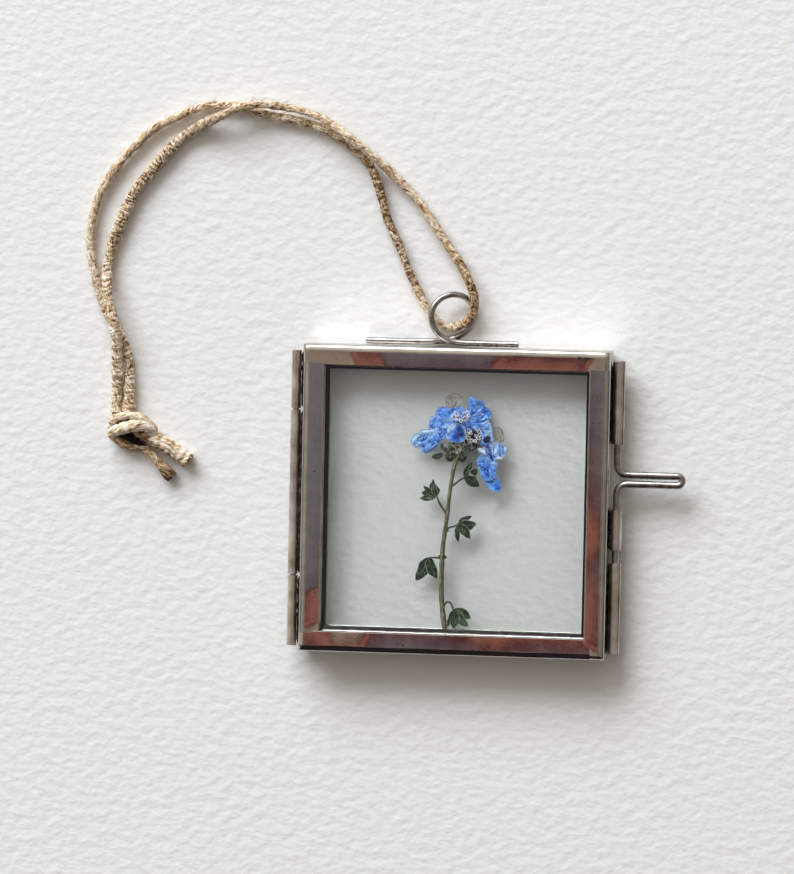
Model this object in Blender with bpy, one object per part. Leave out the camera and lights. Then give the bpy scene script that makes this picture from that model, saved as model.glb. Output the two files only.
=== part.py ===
"""Pressed flower frame: two glass panes in hinged metal channels, hung on jute twine.

The frame lies on its back, its front face up (+Z), its hinge at -X, its clasp at +X and
its hanging ring at +Y. Points below are measured in millimetres from the middle of the
back face; the origin empty then moves all of it, so that the world's origin is at the
bottom centre of the box around the metal, the glass and the flower.
"""
import math

import bmesh
import bpy
from mathutils import Matrix, Vector

MM = 0.001

# The two channel frames, one lying on the other.
SIDE = 50.0
HALF = 2.85                  # depth of one channel
SEAM = 0.30                  # gap between the closed halves
DEPTH = 2 * HALF + SEAM
SHEET = 0.35                 # metal of the channel
LIP_FRONT = 3.25
LIP_BACK = 3.85
EDGE_ROUND = 0.40
WINDOW_ROUND = 0.60
OVERLAP = 0.15               # a bar's end lapped over its neighbour's lip
LAP = 3.10
FIT = 0.30                   # room round a pane in its channel
PANE = HALF - 2 * SHEET - 2 * FIT

# Barrel hinge at the left and wire clasp at the right, both on the middle plane.
AXIS_Z = DEPTH / 2
HINGE_X = -26.4
HINGE_BARREL = 0.80
HINGE_BORE = 0.60
WIRE = 0.50                  # radius of every wire
CLASP_X = 26.2
CLASP_BARREL = 0.97
CLASP_BORE = 0.62
SOLDER_GAP = 0.12
HINGE_TOP = (14.4, 23.8)
HINGE_MIDDLE = (-12.6, 14.1)
HINGE_BOTTOM = (-24.3, -12.9)
CLASP_TOP = (10.0, 23.4)
CLASP_HOOK = (-7.2, -0.6)
CLASP_BOTTOM = (-24.0, -9.3)

# The clasp pin: down the upper barrel, out along a flat loop, back and down again.
HANDLE_TIP = 36.9
HANDLE_Y = 4.3
HANDLE_HALF = 0.80
PIN_TOP = 18.5
PIN_END = -16.0
PIN_BEND = 1.70

# Hanging ring: one wire, its legs along the top wall, its loop crossing over itself.
RING_LEG_Y = SIDE / 2 + WIRE + SOLDER_GAP
RING_ROUTE = [
    (-15.3, RING_LEG_Y, 1.00), (-10.0, RING_LEG_Y, 1.00), (-6.0, 25.65, 0.95),
    (-3.4, 25.80, 0.80), (-1.0, 26.30, 0.65), (0.9, 27.45, 0.56), (2.0, 29.30, 0.58),
    (2.1, 31.20, 0.80), (0.9, 32.85, 1.35), (-1.2, 33.45, 2.00), (-3.1, 32.80, 2.60),
    (-4.3, 31.30, 2.90), (-4.55, 29.60, 2.90), (-4.1, 28.00, 2.75), (-3.1, 26.75, 2.60),
    (-1.5, 25.95, 2.45), (0.5, 25.65, 2.35), (4.0, RING_LEG_Y, 2.30),
    (9.6, RING_LEG_Y, 2.30),
]
RING_TOP = 33.45 + WIRE

# Jute twine, visible from end to end: two strands run from the ring to one knot.
TWINE = 1.80                 # diameter
LIE = 0.95                   # height of its middle where it lies on the surface
STRAND_UNDER = [
    (-1.85, 28.1, 1.08), (-2.93, 28.33, 1.00), (-4.1, 29.0, LIE), (-4.98, 30.0, LIE),
    (-5.9, 31.6, LIE), (-7.1, 34.0, LIE), (-8.6, 36.9, LIE), (-9.9, 40.1, LIE),
    (-11.2, 43.0, LIE), (-12.4, 45.6, LIE), (-13.2, 48.4, LIE), (-14.0, 51.0, LIE),
    (-15.0, 53.4, LIE), (-16.6, 55.5, LIE), (-18.7, 57.3, LIE), (-21.3, 58.9, LIE),
    (-24.3, 60.2, LIE), (-27.4, 61.0, LIE), (-30.6, 61.5, LIE), (-33.7, 62.1, LIE),
    (-36.7, 63.0, LIE), (-39.8, 63.2, LIE), (-43.5, 62.7, LIE), (-47.7, 60.8, LIE),
    (-51.2, 58.8, LIE), (-54.1, 56.1, LIE), (-57.0, 52.7, LIE), (-59.3, 49.0, LIE),
    (-60.6, 45.3, LIE), (-61.0, 41.7, LIE), (-60.9, 38.3, LIE), (-60.2, 35.0, LIE),
    (-59.3, 32.0, LIE), (-58.0, 28.9, LIE), (-56.3, 26.1, LIE), (-55.1, 23.5, LIE),
    (-54.4, 20.6, LIE), (-54.2, 17.6, LIE), (-54.2, 15.1, LIE), (-54.3, 12.9, LIE),
]
STRAND_OVER = [
    (-1.35, 28.1, 1.15), (-0.27, 28.34, 1.32), (0.91, 29.0, 1.70), (1.78, 30.05, 2.10),
    (2.26, 31.4, 2.38), (2.3, 32.8, 2.45), (1.8, 34.6, 2.30), (0.7, 36.8, 1.85),
    (-0.7, 39.1, 1.25), (-2.5, 41.5, LIE), (-4.5, 44.4, LIE), (-6.6, 47.4, LIE),
    (-9.0, 50.2, LIE), (-11.9, 53.0, 1.30), (-14.8, 55.5, 2.30), (-17.6, 57.7, 2.75),
    (-20.3, 59.7, 2.60), (-23.3, 61.5, 2.10), (-26.5, 62.6, 1.90), (-30.0, 63.2, 1.90),
    (-33.4, 63.5, 2.40), (-36.7, 62.9, 3.02), (-39.7, 61.5, 2.55), (-43.1, 59.8, 1.30),
    (-46.2, 57.8, LIE), (-48.9, 55.1, LIE), (-51.4, 52.1, LIE), (-53.6, 49.2, LIE),
    (-55.2, 46.0, LIE), (-56.5, 42.8, LIE), (-57.6, 39.6, LIE), (-58.1, 36.4, 1.20),
    (-58.0, 32.9, 2.20), (-57.4, 29.9, 2.75), (-56.4, 26.6, 2.95), (-56.1, 23.6, 2.70),
    (-56.1, 20.6, 2.00), (-56.1, 17.6, 1.30), (-56.2, 15.1, 1.10), (-56.2, 12.8, 1.10),
]
KNOT_MIDDLE = (-53.6, 9.8, 1.95)
KNOT_RADII = (2.7, 2.1, 1.92)
KNOT_UPPER_WRAP = [(-56.8, 10.4, 1.2), (-56.0, 11.6, 2.3), (-54.0, 11.7, 3.0),
                   (-51.8, 11.7, 2.7), (-50.6, 10.7, 1.3)]
KNOT_LOWER_WRAP = [(-56.5, 8.1, 1.2), (-55.3, 9.1, 2.9), (-53.0, 10.2, 3.2),
                   (-51.3, 10.4, 2.5), (-50.9, 10.0, 1.3)]
TAIL_UPPER = [(-50.3, 8.1, 1.45), (-49.2, 7.9, 1.40), (-47.7, 7.4, 1.20),
              (-46.0, 6.4, 1.00), (-44.2, 5.1, LIE)]
TAIL_LOWER = [(-52.0, 6.8, LIE), (-50.9, 6.3, LIE), (-50.0, 5.5, LIE),
              (-48.8, 4.3, LIE), (-47.1, 2.4, LIE)]

# The pressed flower, in flat layers between the panes.
LAYER_FIRST = 2.42
LAYER_STEP = 0.23
TISSUE = 0.12                # thickness of a petal or a leaf
STEM_Z = 2.80
STEM_ROUTE = [(-1.3, -20.8), (-1.9, -16.3), (-2.0, -12.1), (-1.9, -7.7), (-1.4, -3.3),
              (-1.0, 1.0), (-0.4, 5.2), (-0.05, 6.3)]
STEM_FOOT = 0.42
STEM_HEAD = 0.30

# Each blade: name, foot, tip, width, layer (0 lies nearest the back pane).
PETALS = [
    ("petal_faded_top", (-0.5, 14.5), (-0.4, 17.5), 3.0, 0),
    ("petal_faded_right", (5.5, 8.7), (6.9, 12.2), 2.5, 0),
    ("petal_left_outer", (-2.7, 10.7), (-4.2, 13.6), 1.9, 1),
    ("petal_left_drooping_fold", (-3.2, 9.7), (-5.6, 7.9), 1.6, 1),
    ("petal_top_left", (-0.5, 12.6), (-1.1, 15.2), 2.3, 1),
    ("petal_upper_right_back", (2.9, 13.6), (3.4, 16.7), 2.2, 0),
    ("petal_left_drooping", (-2.7, 10.4), (-7.4, 9.3), 2.9, 2),
    ("petal_upper_left", (-1.0, 12.5), (-3.1, 15.0), 2.6, 2),
    ("petal_upright", (2.3, 13.9), (2.3, 17.2), 1.1, 1),
    ("petal_upper_right", (2.9, 12.9), (5.2, 15.1), 2.8, 2),
    ("petal_pale_right", (4.2, 8.2), (8.2, 8.5), 2.4, 2),
    ("petal_drooping_tip", (5.1, 4.7), (7.2, 1.8), 2.1, 2),
    ("petal_left_inner", (-1.6, 10.2), (-3.2, 12.4), 2.1, 3),
    ("petal_middle", (-0.8, 11.2), (0.6, 13.1), 3.2, 3),
    ("petal_right_column", (4.8, 8.9), (5.0, 13.1), 2.0, 3),
    ("petal_drooping", (4.9, 7.9), (5.3, 3.4), 2.9, 3),
    ("petal_left_crown", (-1.4, 12.1), (-3.3, 13.2), 1.4, 4),
    ("petal_right_round", (2.4, 12.6), (5.2, 13.5), 2.4, 4),
    ("petal_pale_fold", (5.1, 8.0), (3.5, 8.5), 1.0, 4),
    ("petal_front_bud", (0.1, 9.4), (0.0, 12.5), 3.0, 5),
]
SEPALS = [
    ("sepal_left", (-0.8, 7.4), (-2.6, 9.4), 0.8, 2),
    ("sepal_left_middle", (-0.3, 7.3), (-1.1, 9.2), 1.0, 4),
    ("sepal_middle", (0.1, 7.3), (0.4, 9.7), 0.8, 1),
    ("sepal_right_middle", (0.3, 7.3), (1.5, 9.3), 0.8, 3),
    ("sepal_right", (0.6, 7.4), (2.6, 8.7), 0.9, 5),
    ("sepal_upper_right", (0.9, 8.0), (3.6, 9.3), 0.9, 0),
    ("bud_left", (-0.5, 6.6), (-1.8, 7.8), 1.2, 0),
    ("bud_right", (0.5, 6.6), (1.6, 7.7), 1.2, 2),
    ("leaf_small", (-2.1, 7.6), (-4.0, 7.1), 0.9, 4),
]
THROAT_MIDDLE = (2.8, 10.9)
THROAT_RADIUS = 1.15
THROAT_LAYER = 1
STAMEN = 0.10                # radius of a filament
STAMENS_UPPER = [(-0.8, 13.4), (-0.1, 14.4), (0.5, 14.5), (0.8, 13.6), (1.3, 13.4),
                 (1.7, 14.2), (2.1, 14.4), (2.3, 13.9), (1.7, 13.2)]
STAMENS_LOWER = [(1.6, 10.4), (2.1, 10.1), (2.3, 10.8), (3.0, 10.4), (3.5, 11.0),
                 (3.0, 11.5), (2.4, 11.3)]

# Compound leaves: stalk from the stem outwards, then each leaflet's tip and width.
LEAVES = [
    ("leaf_left_upper", [(-2.0, -1.7), (-2.6, -0.5), (-3.1, 0.8)],
     [((-5.9, 0.3), 0.85), ((-5.6, 1.2), 1.2), ((-5.3, 2.4), 0.65), ((-4.1, 2.9), 1.2),
      ((-3.7, 3.6), 0.65)]),
    ("leaf_right_upper", [(-0.1, 2.7), (0.6, 3.4), (1.5, 3.9)],
     [((2.6, 6.4), 0.8), ((3.6, 5.3), 1.1), ((3.9, 2.5), 1.3)]),
    ("leaf_right_middle", [(-1.1, -5.0), (-1.0, -4.4), (0.5, -3.9)],
     [((2.8, -2.3), 0.7), ((3.6, -3.6), 1.3), ((2.6, -6.1), 1.1), ((0.7, -6.7), 0.65)]),
    ("leaf_left_lower", [(-2.5, -9.3), (-3.4, -9.3), (-4.2, -9.4)],
     [((-6.2, -13.2), 1.5), ((-2.7, -12.8), 1.3)]),
    ("leaf_right_lower", [(-1.1, -17.0), (-0.8, -16.4), (-0.2, -16.9), (0.2, -17.8)],
     [((3.0, -19.0), 1.3), ((2.6, -20.4), 1.2), ((0.2, -20.8), 1.3), ((-0.8, -20.7), 0.5)]),
]
LEAF_LAYER = 1.6
STALK = 0.14                 # half width of a leaf's stalk

# The origin: bottom centre of the box around everything but the twine.
LOW_X = HINGE_X - HINGE_BARREL
HIGH_X = HANDLE_TIP + WIRE
MIDDLE_X = (LOW_X + HIGH_X) / 2
MIDDLE_Y = (RING_TOP - SIDE / 2) / 2

for old in list(bpy.data.objects):
    bpy.data.objects.remove(old, do_unlink=True)


def new_collection(name):
    collection = bpy.data.collections.new(name)
    bpy.context.scene.collection.children.link(collection)
    return collection


parts = new_collection("pressed_flower_frame")
cutters = new_collection("cutters")


def material(name, colour, roughness, metallic=0.0, transmission=0.0):
    """A plain Principled material, its colour given as linear RGB."""
    made = bpy.data.materials.new(name)
    made.use_nodes = True
    shader = made.node_tree.nodes["Principled BSDF"]
    shader.inputs["Base Color"].default_value = (*colour, 1.0)
    shader.inputs["Roughness"].default_value = roughness
    shader.inputs["Metallic"].default_value = metallic
    shader.inputs["Transmission Weight"].default_value = transmission
    return made


polished_metal = material("polished_metal", (0.55, 0.52, 0.49), 0.16, metallic=1.0)
wire_metal = material("wire_metal", (0.50, 0.48, 0.45), 0.22, metallic=1.0)
window_glass = material("window_glass", (0.94, 0.98, 0.96), 0.02, transmission=1.0)
jute = material("jute", (0.45, 0.33, 0.20), 0.9)
blue_petal = material("blue_petal", (0.11, 0.28, 0.72), 0.6)
pale_petal = material("pale_petal", (0.36, 0.54, 0.86), 0.6)
faded_petal = material("faded_petal", (0.55, 0.53, 0.45), 0.7)
dark_throat = material("dark_throat", (0.02, 0.02, 0.06), 0.7)
filament = material("filament", (0.75, 0.70, 0.82), 0.6)
leaf_green = material("leaf_green", (0.06, 0.10, 0.06), 0.75)
stem_brown = material("stem_brown", (0.16, 0.14, 0.08), 0.75)


def empty(name, place, parent=None):
    guide = bpy.data.objects.new(name, None)
    guide.empty_display_size = 5 * MM
    guide.location = Vector(place) * MM
    guide.parent = parent
    parts.objects.link(guide)
    return guide


origin = empty("frame_middle", (-MIDDLE_X, -MIDDLE_Y, 0.0))
lid_hinge = empty("lid_hinge", (HINGE_X, 0.0, AXIS_Z), origin)
clasp_swivel = empty("clasp_swivel", (CLASP_X, HANDLE_Y, AXIS_Z), origin)


def boolean(obj, other, operation="DIFFERENCE"):
    """Cut obj with other, or join them; other stays in the cutters' collection."""
    step = obj.modifiers.new(other.name, "BOOLEAN")
    step.operation = operation
    step.solver = "EXACT"
    step.object = other
    cutters.objects.link(other)
    other.hide_render = True
    other.display_type = "WIRE"


def place(obj, finish, carrier=origin):
    """Hang a piece and its cutters on a carrier; all are drawn from the frame's middle."""
    parts.objects.link(obj)
    obj.data.materials.append(finish)
    if obj.type == "MESH":
        obj.data.shade_smooth()
        obj.data.set_sharp_from_angle(angle=math.radians(35))
    for piece in [obj] + [step.object for step in obj.modifiers]:
        piece.parent = carrier
        if carrier is not origin:
            piece.location = -carrier.location


def from_bmesh(name, drawn):
    mesh = bpy.data.meshes.new(name)
    drawn.to_mesh(mesh)
    drawn.free()
    return bpy.data.objects.new(name, mesh)


def block(name, low, high, rounding=0.0, all_edges=False):
    """A box between two corners; its upright edges, or all its edges, can be rounded."""
    low, high = Vector(low) * MM, Vector(high) * MM
    drawn = bmesh.new()
    bmesh.ops.create_cube(drawn, size=1.0)
    bmesh.ops.scale(drawn, verts=drawn.verts, vec=high - low)
    bmesh.ops.translate(drawn, verts=drawn.verts, vec=(low + high) / 2)
    if rounding:
        edges = [edge for edge in drawn.edges
                 if all_edges or abs(edge.verts[0].co.z - edge.verts[1].co.z) > 0.1 * MM]
        bmesh.ops.bevel(drawn, geom=edges, offset=rounding * MM, segments=3,
                        profile=0.5, affect="EDGES")
    return from_bmesh(name, drawn)


def rod(name, x, y_low, y_high, radius, sides=20):
    """A cylinder along Y on the middle plane."""
    drawn = bmesh.new()
    bmesh.ops.create_cone(drawn, cap_ends=True, segments=sides, radius1=radius * MM,
                          radius2=radius * MM, depth=(y_high - y_low) * MM)
    bmesh.ops.rotate(drawn, verts=drawn.verts,
                     matrix=Matrix.Rotation(math.pi / 2, 3, "X"))
    bmesh.ops.translate(drawn, verts=drawn.verts,
                        vec=Vector((x, (y_low + y_high) / 2, AXIS_Z)) * MM)
    return from_bmesh(name, drawn)


def smooth_route(points, spacing):
    """Points, spacing apart, read from a Catmull-Rom curve through the route's own."""
    points = [Vector(point) for point in points]
    ends = [2 * points[0] - points[1], *points, 2 * points[-1] - points[-2]]
    fine = []
    for a, b, c, d in zip(ends, ends[1:], ends[2:], ends[3:]):
        for t in (step / 24 for step in range(24)):
            fine.append(0.5 * (2 * b + (c - a) * t + (2 * a - 5 * b + 4 * c - d) * t ** 2
                               + (3 * b - a - 3 * c + d) * t ** 3))
    fine.append(points[-1])
    reach = [0.0]
    for a, b in zip(fine, fine[1:]):
        reach.append(reach[-1] + (b - a).length)
    count = max(2, round(reach[-1] / spacing))
    read, index = [], 0
    for step in range(count + 1):
        target = reach[-1] * step / count
        while index < len(reach) - 2 and reach[index + 1] < target:
            index += 1
        span = max(reach[index + 1] - reach[index], 1e-9)
        read.append(fine[index].lerp(fine[index + 1], (target - reach[index]) / span))
    return read


def spline(name, points, dimensions, swell=(1.0, 1.0)):
    """A curve with one straight-sided spline; swell scales its radius end to end."""
    curve = bpy.data.curves.new(name, "CURVE")
    curve.dimensions = dimensions
    line = curve.splines.new("POLY")
    line.points.add(len(points) - 1)
    for index, point in enumerate(points):
        share = index / (len(points) - 1)
        line.points[index].co = (*(Vector(point) * MM), 1.0)
        line.points[index].radius = swell[0] + (swell[1] - swell[0]) * share
    return bpy.data.objects.new(name, curve), line


def tube(name, points, radius, rings=2, swell=(1.0, 1.0)):
    """A round wire, strand or stem through the points, capped at both ends."""
    obj, _ = spline(name, points, "3D", swell)
    obj.data.bevel_depth = radius * MM
    obj.data.bevel_resolution = rings
    obj.data.use_fill_caps = True
    return obj


def plate(name, outline, layer, thickness=TISSUE):
    """A flat piece cut to an outline, lying in one of the flower's layers."""
    obj, line = spline(name, [(x, y, 0.0) for x, y in outline], "2D")
    line.use_cyclic_u = True
    obj.data.fill_mode = "BOTH"
    obj.data.extrude = thickness / 2 * MM
    obj.location.z = layer_height(layer) * MM
    return obj


def as_mesh(obj):
    """The same piece as a welded mesh, for a Boolean; the curve is removed."""
    bpy.context.scene.collection.objects.link(obj)
    bpy.context.view_layer.update()
    evaluated = obj.evaluated_get(bpy.context.evaluated_depsgraph_get())
    drawn = bmesh.new()
    drawn.from_mesh(bpy.data.meshes.new_from_object(evaluated))
    bmesh.ops.remove_doubles(drawn, verts=drawn.verts, dist=0.002 * MM)
    bmesh.ops.recalc_face_normals(drawn, faces=drawn.faces)
    bmesh.ops.transform(drawn, verts=drawn.verts, matrix=obj.matrix_world)
    name = obj.name
    bpy.data.objects.remove(obj, do_unlink=True)
    return from_bmesh(name, drawn)


def layer_height(layer):
    return LAYER_FIRST + LAYER_STEP * layer


def channel_frame(name, low, lip, carrier, laps=False):
    """One half of the frame: a U-shaped channel bent round the pane's four edges."""
    edge, wall, window = SIDE / 2, SIDE / 2 - SHEET, SIDE / 2 - lip
    top = low + HALF
    ring = block(name, (-edge, -edge, low), (edge, edge, top), EDGE_ROUND, True)
    boolean(ring, block(name + "_window", (-window, -window, low - 1),
                        (window, window, top + 1), WINDOW_ROUND))
    boolean(ring, block(name + "_groove", (-wall, -wall, low + SHEET),
                        (wall, wall, top - SHEET)))
    near, far = edge - LAP, edge - EDGE_ROUND
    for x, y in ((-1, 1), (1, 1), (-1, -1), (1, -1)) if laps else ():
        low_corner = (min(x * near, x * far), min(y * near, y * far), top - SHEET / 2)
        high_corner = (max(x * near, x * far), max(y * near, y * far), top + OVERLAP)
        boolean(ring, block(name + "_lap", low_corner, high_corner, 0.2), "UNION")
    place(ring, polished_metal, carrier)


def pane(name, low, carrier):
    """A glass pane, standing in its channel with room all round."""
    half = SIDE / 2 - SHEET - FIT
    middle = low + HALF / 2
    glass = block(name, (-half, -half, middle - PANE / 2), (half, half, middle + PANE / 2))
    place(glass, window_glass, carrier)


def barrel(name, x, reach, radius, bore, solder, carrier, mouth=False):
    """A rolled barrel with the solder that holds it to the wall beside it.

    solder gives the lower and upper edge of the soldered strip. A barrel with a mouth
    is open along its back, so that it lifts off its wire.
    """
    low, high = reach
    outward = math.copysign(1.0, x)
    knuckle = rod(name, x, low, high, radius)
    inset = (high - low) * 0.12
    strip_x = sorted((outward * (SIDE / 2 + SOLDER_GAP), x - outward * radius * 0.55))
    boolean(knuckle, block(name + "_solder", (strip_x[0], low + inset, solder[0]),
                           (strip_x[1], high - inset, solder[1])), "UNION")
    boolean(knuckle, rod(name + "_bore", x, low - 1, high + 1, bore))
    if mouth:
        boolean(knuckle, block(name + "_mouth", (x - bore, low - 1, AXIS_Z - 2 * radius),
                               (x + bore, high + 1, AXIS_Z)))
    place(knuckle, wire_metal, carrier)


# Back half: it carries the hinge wire, four barrels, the ring and the flower.
channel_frame("back_frame", 0.0, LIP_BACK, origin)
pane("back_glass", 0.0, origin)
solder_back = (AXIS_Z - 0.75, AXIS_Z - 0.25)
for name, reach in (("hinge_knuckle_top", HINGE_TOP),
                    ("hinge_knuckle_bottom", HINGE_BOTTOM)):
    barrel(name, HINGE_X, reach, HINGE_BARREL, HINGE_BORE, solder_back, origin)
for name, reach in (("clasp_knuckle_top", CLASP_TOP),
                    ("clasp_knuckle_bottom", CLASP_BOTTOM)):
    barrel(name, CLASP_X, reach, CLASP_BARREL, CLASP_BORE, solder_back, origin)
place(rod("hinge_pin", HINGE_X, HINGE_BOTTOM[0] + 0.3, HINGE_TOP[1] - 0.3, WIRE, 16),
      wire_metal)
place(tube("hanging_ring", smooth_route(RING_ROUTE, 1.0), WIRE), wire_metal)

# Front half: the lid, with the hinge's middle barrel and the clasp's open one.
channel_frame("front_frame", HALF + SEAM, LIP_FRONT, lid_hinge, laps=True)
pane("front_glass", HALF + SEAM, lid_hinge)
barrel("hinge_knuckle_middle", HINGE_X, HINGE_MIDDLE, HINGE_BARREL, HINGE_BORE,
       (AXIS_Z + 0.25, AXIS_Z + 0.75), lid_hinge)
barrel("clasp_hook", CLASP_X, CLASP_HOOK, CLASP_BARREL, CLASP_BORE,
       (AXIS_Z + 0.25, AXIS_Z + 0.90), lid_hinge, mouth=True)


def bend(corner, before, after, radius, steps=5):
    """Points of the arc that rounds a square corner between two straight runs."""
    corner = Vector(corner)
    back = (Vector(before) - corner).normalized() * radius
    ahead = (Vector(after) - corner).normalized() * radius
    turns = [step / steps * math.pi / 2 for step in range(steps + 1)]
    return [corner + back * (1 - math.sin(turn)) + ahead * (1 - math.cos(turn))
            for turn in turns]


# Clasp pin: one wire with a long flat loop as its handle.
upper, lower = HANDLE_Y + HANDLE_HALF, HANDLE_Y - HANDLE_HALF
start, finish = (CLASP_X, PIN_TOP, AXIS_Z), (CLASP_X, PIN_END, AXIS_Z)
turn_x = HANDLE_TIP - HANDLE_HALF
pin_route = [start]
pin_route += bend((CLASP_X, upper, AXIS_Z), start, (turn_x, upper, AXIS_Z), PIN_BEND)
for step in range(9):
    angle = step / 8 * math.pi
    pin_route.append((turn_x + HANDLE_HALF * math.sin(angle),
                      HANDLE_Y + HANDLE_HALF * math.cos(angle), AXIS_Z))
pin_route += bend((CLASP_X, lower, AXIS_Z), (turn_x, lower, AXIS_Z), finish, PIN_BEND)
pin_route.append(finish)
place(tube("clasp_pin", pin_route, WIRE), wire_metal, clasp_swivel)


# Twine: two strands from the ring, one double overhand knot, two cut tails.
def strand(name, route, near=9.0):
    """A plain strand, its points closer together in the tight turn at the ring."""
    fine = smooth_route(route, 0.3)
    dense = round(near / 0.3)
    place(tube(name, fine[:dense:5] + smooth_route(fine[dense:], 3.9), TWINE / 2), jute)


strand("cord_strand_under", STRAND_UNDER)
strand("cord_strand_over", STRAND_OVER)

drawn_knot = bmesh.new()
bmesh.ops.create_uvsphere(drawn_knot, u_segments=16, v_segments=9, radius=MM)
bmesh.ops.scale(drawn_knot, verts=drawn_knot.verts, vec=KNOT_RADII)
bmesh.ops.translate(drawn_knot, verts=drawn_knot.verts, vec=Vector(KNOT_MIDDLE) * MM)
knot = from_bmesh("cord_knot", drawn_knot)
for name, route, radius in (("knot_upper_wrap", KNOT_UPPER_WRAP, 0.72),
                            ("knot_lower_wrap", KNOT_LOWER_WRAP, 0.88)):
    boolean(knot, as_mesh(tube(name, smooth_route(route, 1.2), radius)), "UNION")
place(knot, jute)
for name, route in (("cord_tail_upper", TAIL_UPPER), ("cord_tail_lower", TAIL_LOWER)):
    place(tube(name, smooth_route(route, 1.5), TWINE / 2), jute)


def blade(foot, tip, width, steps=6, shift=0.85):
    """Outline of an oval blade from foot to tip, widest a little past its middle."""
    foot, along = Vector(foot), Vector(tip) - Vector(foot)
    across = Vector((-along.y, along.x)).normalized() * width / 2
    left, right = [], []
    for step in range(1, steps):
        share = (1 - math.cos(math.pi * step / steps)) / 2
        swell = math.sqrt(max(0.0, 1 - (2 * share ** shift - 1) ** 2))
        left.append(foot + along * share + across * swell)
        right.append(foot + along * share - across * swell)
    return [foot, *right, Vector(tip), *reversed(left)]


def compound_leaf(name, stalk, leaflets):
    """A flat stalk along its route, with an oval leaflet to each tip."""
    points = [Vector(point) for point in stalk]
    left, right = [], []
    for index, point in enumerate(points):
        run = points[min(index + 1, len(points) - 1)] - points[max(index - 1, 0)]
        side = Vector((-run.y, run.x)).normalized() * STALK
        left.append(point + side)
        right.append(point - side)
    leaf = as_mesh(plate(name, right + left[::-1], LEAF_LAYER))
    for index, (tip, width) in enumerate(leaflets):
        foot = points[-1] + (points[-1] - Vector(tip)).normalized() * STALK
        leaflet = plate(f"{name}_leaflet", blade(foot, tip, width), LEAF_LAYER,
                        TISSUE + 0.02 * (index + 1))
        boolean(leaf, as_mesh(leaflet), "UNION")
    place(leaf, leaf_green)


# The flower: a tapering stem, five compound leaves, the calyx and the petals.
stem_points = smooth_route([(x, y, STEM_Z) for x, y in STEM_ROUTE], 2.2)
place(tube("stem", stem_points, STEM_FOOT, swell=(1.0, STEM_HEAD / STEM_FOOT)),
      stem_brown)
for name, stalk, leaflets in LEAVES:
    compound_leaf(name, stalk, leaflets)
petal_finish = {"petal_faded_top": faded_petal, "petal_faded_right": faded_petal,
                "petal_pale_right": pale_petal, "petal_pale_fold": pale_petal,
                "petal_left_crown": pale_petal, "petal_right_round": pale_petal}
for name, foot, tip, width, layer in PETALS:
    place(plate(name, blade(foot, tip, width), layer), petal_finish.get(name, blue_petal))
for name, foot, tip, width, layer in SEPALS:
    place(plate(name, blade(foot, tip, width), layer), leaf_green)

throat_rim = [(THROAT_MIDDLE[0] + THROAT_RADIUS * math.cos(step * math.pi / 8),
               THROAT_MIDDLE[1] + THROAT_RADIUS * math.sin(step * math.pi / 8))
              for step in range(16)]
place(plate("flower_throat", throat_rim, THROAT_LAYER), dark_throat)
for name, route, layer in (("stamens_upper", STAMENS_UPPER, 5),
                           ("stamens_lower", STAMENS_LOWER, 3)):
    points = smooth_route([(x, y, layer_height(layer)) for x, y in route], 0.35)
    place(tube(name, points, STAMEN, rings=1), filament)
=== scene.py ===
import functools
import math

import bmesh
import bpy
import numpy as np
from mathutils import Matrix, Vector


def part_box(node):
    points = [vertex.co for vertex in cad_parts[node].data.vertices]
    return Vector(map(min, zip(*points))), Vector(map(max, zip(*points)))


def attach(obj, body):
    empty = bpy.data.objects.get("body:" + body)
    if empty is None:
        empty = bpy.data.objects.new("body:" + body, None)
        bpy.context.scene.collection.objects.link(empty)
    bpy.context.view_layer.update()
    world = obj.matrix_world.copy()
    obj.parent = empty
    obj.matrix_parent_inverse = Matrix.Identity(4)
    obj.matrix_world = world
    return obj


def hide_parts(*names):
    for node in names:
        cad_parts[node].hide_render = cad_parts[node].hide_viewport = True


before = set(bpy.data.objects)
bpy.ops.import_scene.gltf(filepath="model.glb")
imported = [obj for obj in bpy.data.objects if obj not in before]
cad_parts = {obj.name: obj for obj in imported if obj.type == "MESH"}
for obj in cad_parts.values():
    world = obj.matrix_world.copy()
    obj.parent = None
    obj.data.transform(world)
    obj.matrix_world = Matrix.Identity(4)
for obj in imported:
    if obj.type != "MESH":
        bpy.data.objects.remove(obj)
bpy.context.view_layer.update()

# ---------------------------------------------------------------------------------
# The camera. It looks almost straight down on the frame from 1 m, a little from the
# right and from the ring's side, and is turned by just over a degree.
MM = 0.001
lowest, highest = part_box("back_frame")
middle = np.array([(lowest[0] + highest[0]) / 2, (lowest[1] + highest[1]) / 2, 0.0])


def on_frame(points):
    """Millimetres from the middle of the frame's back face, as metres in the world."""
    return np.asarray(points, float) * MM + middle


def unit(vectors):
    """Each vector divided by its own length."""
    vectors = np.asarray(vectors, float)
    return vectors / np.maximum(np.linalg.norm(vectors, axis=-1, keepdims=True), 1e-12)


toward = unit((math.tan(math.radians(6.856)), math.tan(math.radians(3.893)), 1.0))
level = unit(np.cross((0.0, 1.0, 0.0), toward))
upright = np.cross(toward, level)
roll = math.radians(1.203)
across_view = level * math.cos(roll) + upright * math.sin(roll)
up_view = upright * math.cos(roll) - level * math.sin(roll)
eye = on_frame((-9.408, 10.324, 6.0)) + toward
camera = bpy.data.objects.new("camera", bpy.data.cameras.new("camera"))
camera.data.sensor_width = 36.0
camera.data.lens = 254.65
camera.data.clip_start = 0.02
camera.data.clip_end = 30.0
camera.matrix_world = Matrix(
    np.c_[across_view, up_view, toward, eye].tolist() + [[0, 0, 0, 1]])
put_in_scene = bpy.context.scene.collection.objects.link
put_in_scene(camera)
bpy.context.scene.camera = camera

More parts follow.
